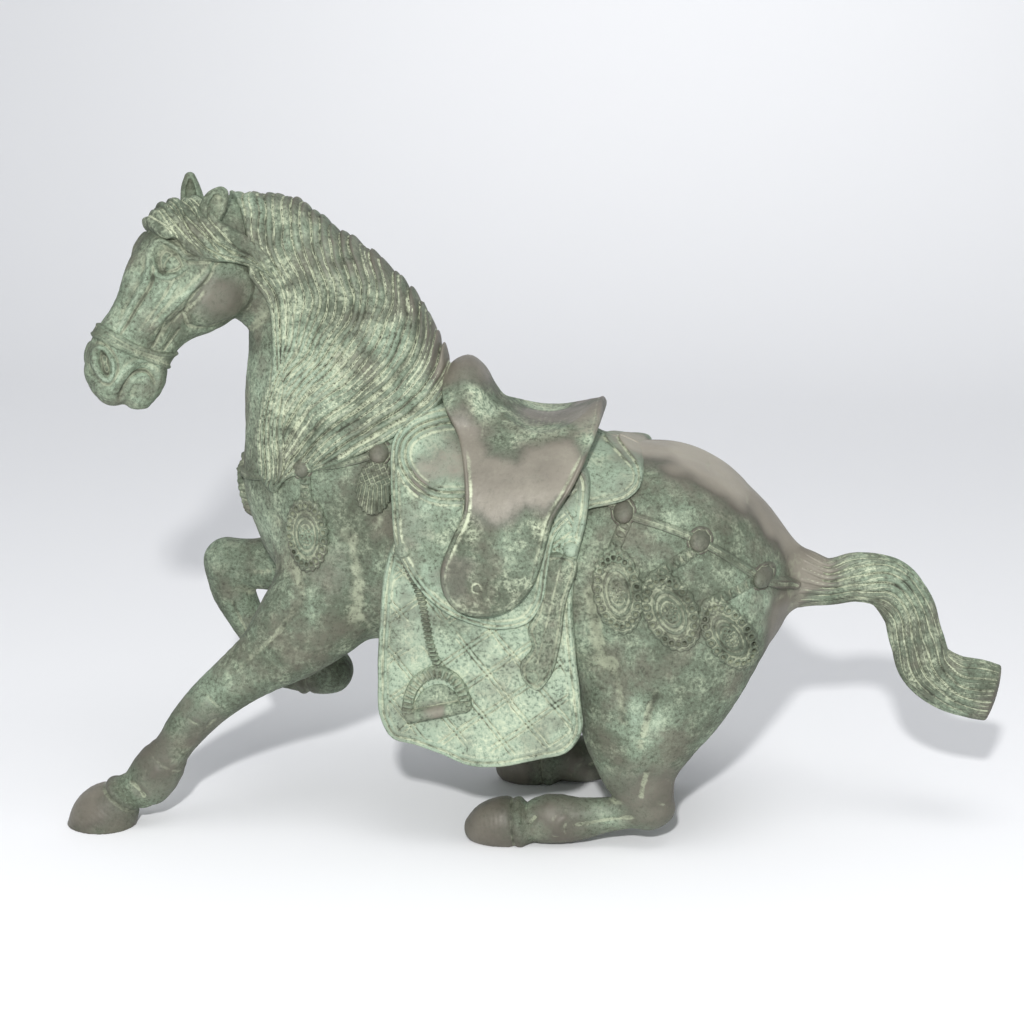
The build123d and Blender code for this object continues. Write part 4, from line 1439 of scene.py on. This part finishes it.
# ---------------------------------------------------------------- the pieces
def add(name, field, low, high, step, slot, nodes=None, shape=None, cast=0.2, worn=0.0):
    """A piece from a field meshed between two corners, with its surface reworked by shape(verts, quads)."""
    verts, quads = mesh_field(field, low, high, step)
    if shape:
        verts = shape(verts, quads)
    return piece(name, verts, quads, nodes or [name], MATERIALS[slot], cast, worn)


def add_pair(stem, field, low, high, step, slot, cast=0.2):
    """A near piece and its mirror image on the far side."""
    verts, quads = mesh_field(one_side(field, -1.0), (low[0], -104, low[1]), (high[0], 0, high[1]), step)
    piece(f"near_{stem}", verts, quads, [f"near_{stem}"], MATERIALS[slot], cast)
    piece(f"far_{stem}", verts * (1, -1, 1), quads[:, ::-1], [f"far_{stem}"], MATERIALS[slot], cast)


# castings
LEGS = ("near_hind_leg", "far_hind_leg", "near_fore_leg", "far_fore_leg")
for name, field, low, high, step in (
    ("trunk", casting(None, "neck", *LEGS), (-206, -92, 68), (200, 92, 330), 2.0),
    ("neck", casting("neck", "head"), (-212, -70, 238), (-30, 70, 452), 1.8),
    ("near_hind_leg", casting("near_hind_leg"), (-18, -94, -2), (150, -22, 118), 1.2),
    ("far_hind_leg", casting("far_hind_leg"), (-18, 22, -2), (150, 94, 118), 1.2),
    ("near_fore_leg", casting("near_fore_leg"), (-292, -84, 6), (-140, -22, 176), 1.2),
    ("far_fore_leg", casting("far_fore_leg"), (-252, 26, 60), (-166, 84, 196), 1.2),
):
    add(name, field, low, high, step, "body_bronze", shape=carved)
add(
    "head", casting("head", base=HEAD_SKIN), (-306, -100, 296), (-160, 44, 455), 0.85, "body_bronze",
    shape=lambda v, q: carved(v, q, on_head=True), cast=0.15,
)  # fmt: skip
for name, (outer, inner) in {"far_ear": FAR_EAR, "near_ear": NEAR_EAR}.items():
    add(name, ear_field(outer, inner), (-256, -90, 408), (-190, 20, 460), 0.6, "body_bronze", cast=0.12)

# hooves
for name, chain, side, back, low, high, ends, coronet in (
    ("near_fore_hoof", NEAR_FORE_HOOF, 1, 0, (-328, -86, -2), (-262, -32, 42), ((-276, -59, 28), (-296, -59, 2)), 6),
    ("far_fore_hoof", FAR_FORE_HOOF, 1, 0, (-196, 32, 56), (-132, 78, 102), ((-182, 55, 76), (-150, 55, 81)), 6),
    ("near_hind_hoof", HIND_HOOF, -1, 0, (-46, -80, -2), (18, -38, 36), ((4, -59, 13), (-30, -59, 10)), 5),
    ("far_hind_hoof", HIND_HOOF, 1, FAR_HIND_SHIFT, (-40, 38, -2), (26, 80, 36), ((12, 59, 13), (-22, 59, 10)), 5),
):
    add(
        name, hoof_field(chain, side, back), low, high, 0.9, "hoof_bronze",
        shape=lambda v, q, ends=ends, coronet=coronet: ringed(v, q, *ends, coronet),
    )  # fmt: skip

# hair
mane_chart = Chart(mane_heights, MANE_LOW, MANE_HIGH, 0.6)
mane = relief(SKIN, side_view, outline(MANE_EDGE, margin=20), mane_chart, under=60.0, roll=5.0)
add(
    "mane", lambda p: np.maximum(mane(p), REGIONS["head"](p) - 9.0), (-218, -72, 234), (-36, 72, 458),
    1.05, "hair_bronze", cast=0.15,
)  # fmt: skip
forelock_chart = Chart(forelock_heights, (0, 380), (112, 460), 0.5)
forelock = relief(HEAD_SKIN, head_view, outline(FORELOCK_EDGE), forelock_chart, roll=3.0)
add("forelock", forelock, (-300, -90, 378), (-160, 44, 456), 0.75, "hair_bronze", cast=0.1)
verts, quads = tail_mesh()
piece("tail", verts, quads, ["tail"], MATERIALS["hair_bronze"], 0.12)

# saddlery
cloth_chart = Chart(cloth_heights, (-112, 44), (62, 282), 0.4)
flap_chart = Chart(flap_heights, (-98, 148), (94, 318), 0.4)


def cloth_field(p):
    u, v = side_view(p)
    rim = CLOTH(u, v)
    d = drape(p)
    backing = 9.0 * smoothstep(140, 168, v)
    return np.maximum(np.maximum(d - cloth_chart(u, v) * rolled(rim, 2.2), -d - backing), rim)


add_pair("saddle_cloth", cloth_field, (-104, 58), (54, 272), 0.8, "cloth_bronze")


def flap_base(p):
    """The drape, and behind the saddle the croup itself."""
    share = smoothstep(18, 52, p[:, 0])
    skin = SKIN(p) + 3.0
    return blend(drape(p), skin, 4) * (1 - share) + skin * share


flap_relief = relief(flap_base, side_view, FLAP, flap_chart, under=3.0, roll=2.2)


def flap_field(p):
    """The flap, cut short under the seat."""
    u, v = side_view(p)
    return np.maximum(flap_relief(p), v - seat_line(u) + 6.0 - 60.0 * smoothstep(30, 46, u))


add_pair("sweat_flap", flap_field, (-90, 156), (88, 306), 0.85, "cloth_bronze")
add(
    "saddle", saddle_field, (-68, -102, 164), (60, 102, 337), 0.95, "saddle_bronze",
    ["saddle", "near_saddle_skirt", "far_saddle_skirt"],
)  # fmt: skip
for stem, edge, heights, low, high, step, cast in (
    ("stirrup_leather", leather_edge, leather_heights, (-90, 126), (-44, 216), 0.6, 0.08),
    ("hanging_strap", HANGING_STRAP, strap_heights, (-4, 114), (44, 222), 0.7, 0.1),
    ("stirrup", stirrup_edge, stirrup_heights, (-84, 88), (-26, 140), 0.55, 0.08),
):
    add_pair(stem, relief(drape, side_view, edge, heights, under=-2.0, roll=1.5), low, high, step, "harness_bronze", cast)

# harness
for stem, (x, z, up, across, lean, hang_x, hang_z) in LEAVES.items():
    edge, heights = leaf(x, z, up, across, lean, hang_x, hang_z)
    if stem == "breast_pendant_small":
        heights = acorn_heights
    low, high = (x - up - 6, z - up - 8), (max(x, hang_x) + up + 4, hang_z + 8)
    rim, chart = Chart(edge, low, high, 0.4), Chart(heights, low, high, 0.3)
    for side_name, side in SIDES.items():
        y_low, y_high = sorted((side * 8, side * 98))
        add(
            f"{side_name}_{stem}", one_side(relief(SKIN, side_view, rim, chart, roll=1.3), side),
            (low[0], y_low, low[1]), (high[0], y_high, high[1]), 0.6, "harness_bronze", cast=0.06,
        )  # fmt: skip
for name, bosses, low, high in (
    ("breast_bosses", BREAST_BOSSES, (-162, -98, 244), (-80, 98, 292)),
    ("rump_bosses", RUMP_BOSSES, (56, -98, 184), (172, 98, 254)),
):
    domes = Chart(
        lambda u, v, bosses=bosses: boss_heights(u, v, bosses, 7.0), (low[0], low[2]), (high[0], high[2]), 0.3
    )
    field = relief(SKIN, side_view, union_edge(bosses, 1.6), domes, roll=1.0)
    add(name, field, low, high, 0.6, "harness_bronze", cast=0.06, worn=0.6)
add("breast_strap", strap(BREAST_STRAP), (-216, -80, 240), (-82, 80, 290), 0.75, "harness_bronze", cast=0.08)
rump = strap(RUMP_STRAP)
for side_name, side in SIDES.items():
    y_low, y_high = sorted((side * 2, side * 98))
    low, high = (40, y_low, 172), (190, y_high, 262)
    add(f"{side_name}_crupper_strap", one_side(rump, side, 2.0), low, high, 0.75, "harness_bronze", cast=0.08)
chest_edge, chest_heights = leaf(0, 232, 20, 13, 0, 0, 254)
chest = relief(SKIN, front_view, chest_edge, chest_heights, roll=1.3)
add(
    "chest_pendant", lambda p: np.maximum(chest(p), p[:, 0] + 150), (-216, -22, 204), (-150, 22, 262),
    0.6, "harness_bronze", cast=0.06,
)  # fmt: skip
noseband_chart = Chart(noseband_heights, (40, 300), (160, 380), 0.4)
noseband = relief(HEAD_SKIN, head_view, NOSEBAND, noseband_chart, roll=2.0)
add("noseband", noseband, (-304, -100, 312), (-210, -6, 380), 0.7, "harness_bronze", cast=0.08)

# inner parts keep their CAD shape
for name in ("leg_dowels", "tail_tenon", "neck_joint_ring", "head_joint_ring", "core_hole_plug"):
    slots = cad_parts[name].data.materials
    slots.clear()
    slots.append(MATERIALS["raw_bronze"])


# ---------------------------------------------------------------- floor, light and camera
def plain_white():
    material = bpy.data.materials.new("white_sweep")
    material.use_nodes = True
    shader = material.node_tree.nodes["Principled BSDF"]
    shader.inputs["Base Color"].default_value = (0.87, 0.87, 0.88, 1)
    shader.inputs["Roughness"].default_value = 0.9
    shader.inputs["Specular IOR Level"].default_value = 0.2
    return material


def sweep():
    """A white floor that curves up into a wall far behind the horse."""
    profile = [(-3.0, 0.0), (1.4, 0.0)]
    profile += [(1.4 + 1.2 * math.sin(a), 1.2 - 1.2 * math.cos(a)) for a in np.linspace(0.1, math.pi / 2, 14)]
    profile.append((2.6, 4.0))
    verts = [(x, y, z) for y, z in profile for x in (-5.0, 5.0)]
    faces = [(2 * n, 2 * n + 1, 2 * n + 3, 2 * n + 2) for n in range(len(profile) - 1)]
    mesh = bpy.data.meshes.new("floor")
    mesh.from_pydata(verts, [], faces)
    mesh.polygons.foreach_set("use_smooth", [True] * len(mesh.polygons))
    mesh.materials.append(plain_white())
    obj = bpy.data.objects.new("floor", mesh)
    bpy.context.scene.collection.objects.link(obj)
    return obj


sweep()

AIM = Vector((-0.014, 0.0, 0.220))


def direction(azimuth, elevation):
    """Away from the horse: azimuth 0 is its near side, and it grows towards the tail."""
    a, e = math.radians(azimuth), math.radians(elevation)
    return Vector((math.sin(a) * math.cos(e), -math.cos(a) * math.cos(e), math.sin(e)))


def place(obj, azimuth, elevation, distance):
    """Puts a lamp or the camera at a distance from the aim, facing it."""
    obj.location = AIM + direction(azimuth, elevation) * distance
    obj.rotation_euler = (AIM - obj.location).to_track_quat("-Z", "Y").to_euler()
    bpy.context.scene.collection.objects.link(obj)


for name, azimuth, elevation, distance, size, energy in (
    ("key", 3, 27, 2.4, 0.10, 52.0),
    ("top", 30, 70, 2.4, 1.2, 14.0),
):
    lamp = bpy.data.lights.new(name, "AREA")
    lamp.size, lamp.energy = size, energy
    place(bpy.data.objects.new(name, lamp), azimuth, elevation, distance)

wall_lamp = bpy.data.lights.new("wall", "AREA")
wall_lamp.size, wall_lamp.energy, wall_lamp.spread = 1.2, 2.2, math.radians(80)
wall_light = bpy.data.objects.new("wall", wall_lamp)
wall_light.location = (0.0, 1.9, 2.0)
wall_light.rotation_euler = (math.radians(24), 0.0, 0.0)
bpy.context.scene.collection.objects.link(wall_light)

world = bpy.data.worlds.new("studio")
world.use_nodes = True
world.node_tree.nodes["Background"].inputs["Color"].default_value = (0.93, 0.96, 1.0, 1)
world.node_tree.nodes["Background"].inputs["Strength"].default_value = 0.515
bpy.context.scene.world = world
bpy.context.scene.view_settings.view_transform = "Standard"

camera = bpy.data.cameras.new("camera")
camera.lens, camera.sensor_width, camera.clip_start = 86.1, 36.0, 0.02
viewer = bpy.data.objects.new("camera", camera)
place(viewer, 6.5, 15.0, 1.7)
bpy.context.scene.camera = viewer
